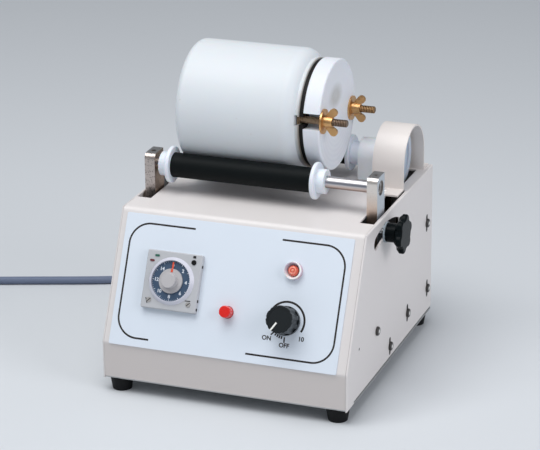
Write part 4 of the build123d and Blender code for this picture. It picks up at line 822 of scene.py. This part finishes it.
def leadRoute(places, coil):
    points = [Vector((case["x"] + x, case["front"] + y, z)) for x, y, z in places]
    heading = (points[-1] - points[-2]).normalized()
    side = Vector((-heading.y, heading.x, 0))
    outer = coil["radius"] + coil["layerTurns"] * coil["pitch"] / 2
    inner = coil["radius"] - coil["layerTurns"] * coil["pitch"] / 2
    touch = points[-1] + heading * coil["start"]
    middle = touch + side * outer
    first = atan2(-side.y, -side.x)
    count = 2 * coil["layerTurns"] * coil["steps"]
    step = 2 * pi / coil["steps"]
    for i in range(count):
        turn = first + (i + 0.5) * step
        fromMiddle = (i + 0.5 - count / 2) / coil["steps"]
        radius = (inner + coil["pitch"] * abs(fromMiddle)) * coil["corner"]
        climb = min(max(fromMiddle * 2 + 0.5, 0), 1)
        out = Vector((cos(turn), sin(turn), 0))
        points.append(middle + out * radius + Vector((0, 0, climb * coil["pitch"])))
    top = touch + Vector((0, 0, coil["pitch"]))
    points += [top + heading * coil["end"] * coil["tail"], top + heading * coil["end"]]
    return [point * mm for point in points]


leadPoints = leadRoute(leadPlaces, leadCoil)
leadCurve = bpy.data.curves.new("mainsLead", "CURVE")
leadCurve.dimensions = "3D"
leadCurve.bevel_depth = leadCoil["wire"] * mm
leadCurve.bevel_resolution = 5
leadCurve.resolution_u = 6
leadCurve.use_fill_caps = True
leadSpline = leadCurve.splines.new("NURBS")
leadSpline.points.add(len(leadPoints) - 1)
for place, point in zip(leadSpline.points, leadPoints):
    place.co = (*point, 1)
leadSpline.order_u = 3
leadSpline.use_endpoint_u = True
mainsLead = bpy.data.objects.new("mainsLead", leadCurve)
bpy.context.scene.collection.objects.link(mainsLead)
leadCurve.materials.append(finishes["cord_jacket"])
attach(mainsLead, "case")
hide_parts("cord_lead", "cord_coil")
print("lead laid")

floorValues = {"half": 6.0, "pale": "D4D8DC", "duller": "CBD0D5", "rough": 0.6}


def floor(p):
    shape = bpy.data.meshes.new("tableTop")
    size = p["half"]
    corners = [(-size, -size, 0), (size, -size, 0), (size, size, 0), (-size, size, 0)]
    shape.from_pydata(corners, [], [(0, 1, 2, 3)])
    piece = bpy.data.objects.new("tableTop", shape)
    bpy.context.scene.collection.objects.link(piece)
    finish = Finish("tableTop")
    clouds = finish.noise(1.5, 2)
    base = finish.mix(clouds * 0.3, tint(p["pale"]), tint(p["duller"]))
    shape.materials.append(finish.shade(Base_Color=base, Roughness=p["rough"]))


# soft lamps: place and target in metres, size, watts and colour
studio = {"overhead": ((-0.2, -0.38, 1.7), (0, 0, 0.1), (1.3, 1.1), 19, (1, 1, 1)),
          "keyLeft": ((-1.0, -1.0, 1.7), (0, 0, 0.12), (0.9, 0.9), 5.8, (1, 0.99, 0.98)),
          "fillRight": ((1.65, -0.5, 0.9), (0, 0, 0.12), (1.0, 1.0), 11.5, (0.98, 0.97, 1))}
surround = {"colour": (0.9, 0.94, 1, 1), "strength": 0.36}


def studioLamp(name, place, target, size, power, colour):
    light = bpy.data.lights.new(name, "AREA")
    light.shape = "RECTANGLE"
    light.size, light.size_y = size
    light.energy = power
    light.color = colour
    piece = bpy.data.objects.new(name, light)
    aim = Vector(target) - Vector(place)
    turn = aim.to_track_quat("-Z", "Y").to_matrix().to_4x4()
    piece.matrix_world = Matrix.Translation(place) @ turn
    bpy.context.scene.collection.objects.link(piece)


floor(floorValues)
for name, values in studio.items():
    studioLamp(name, *values)
world = bpy.data.worlds.new("studio")
world.use_nodes = True
sky = world.node_tree.nodes["Background"]
sky.inputs["Color"].default_value = surround["colour"]
sky.inputs["Strength"].default_value = surround["strength"]
bpy.context.scene.world = world
print("floor and light set")
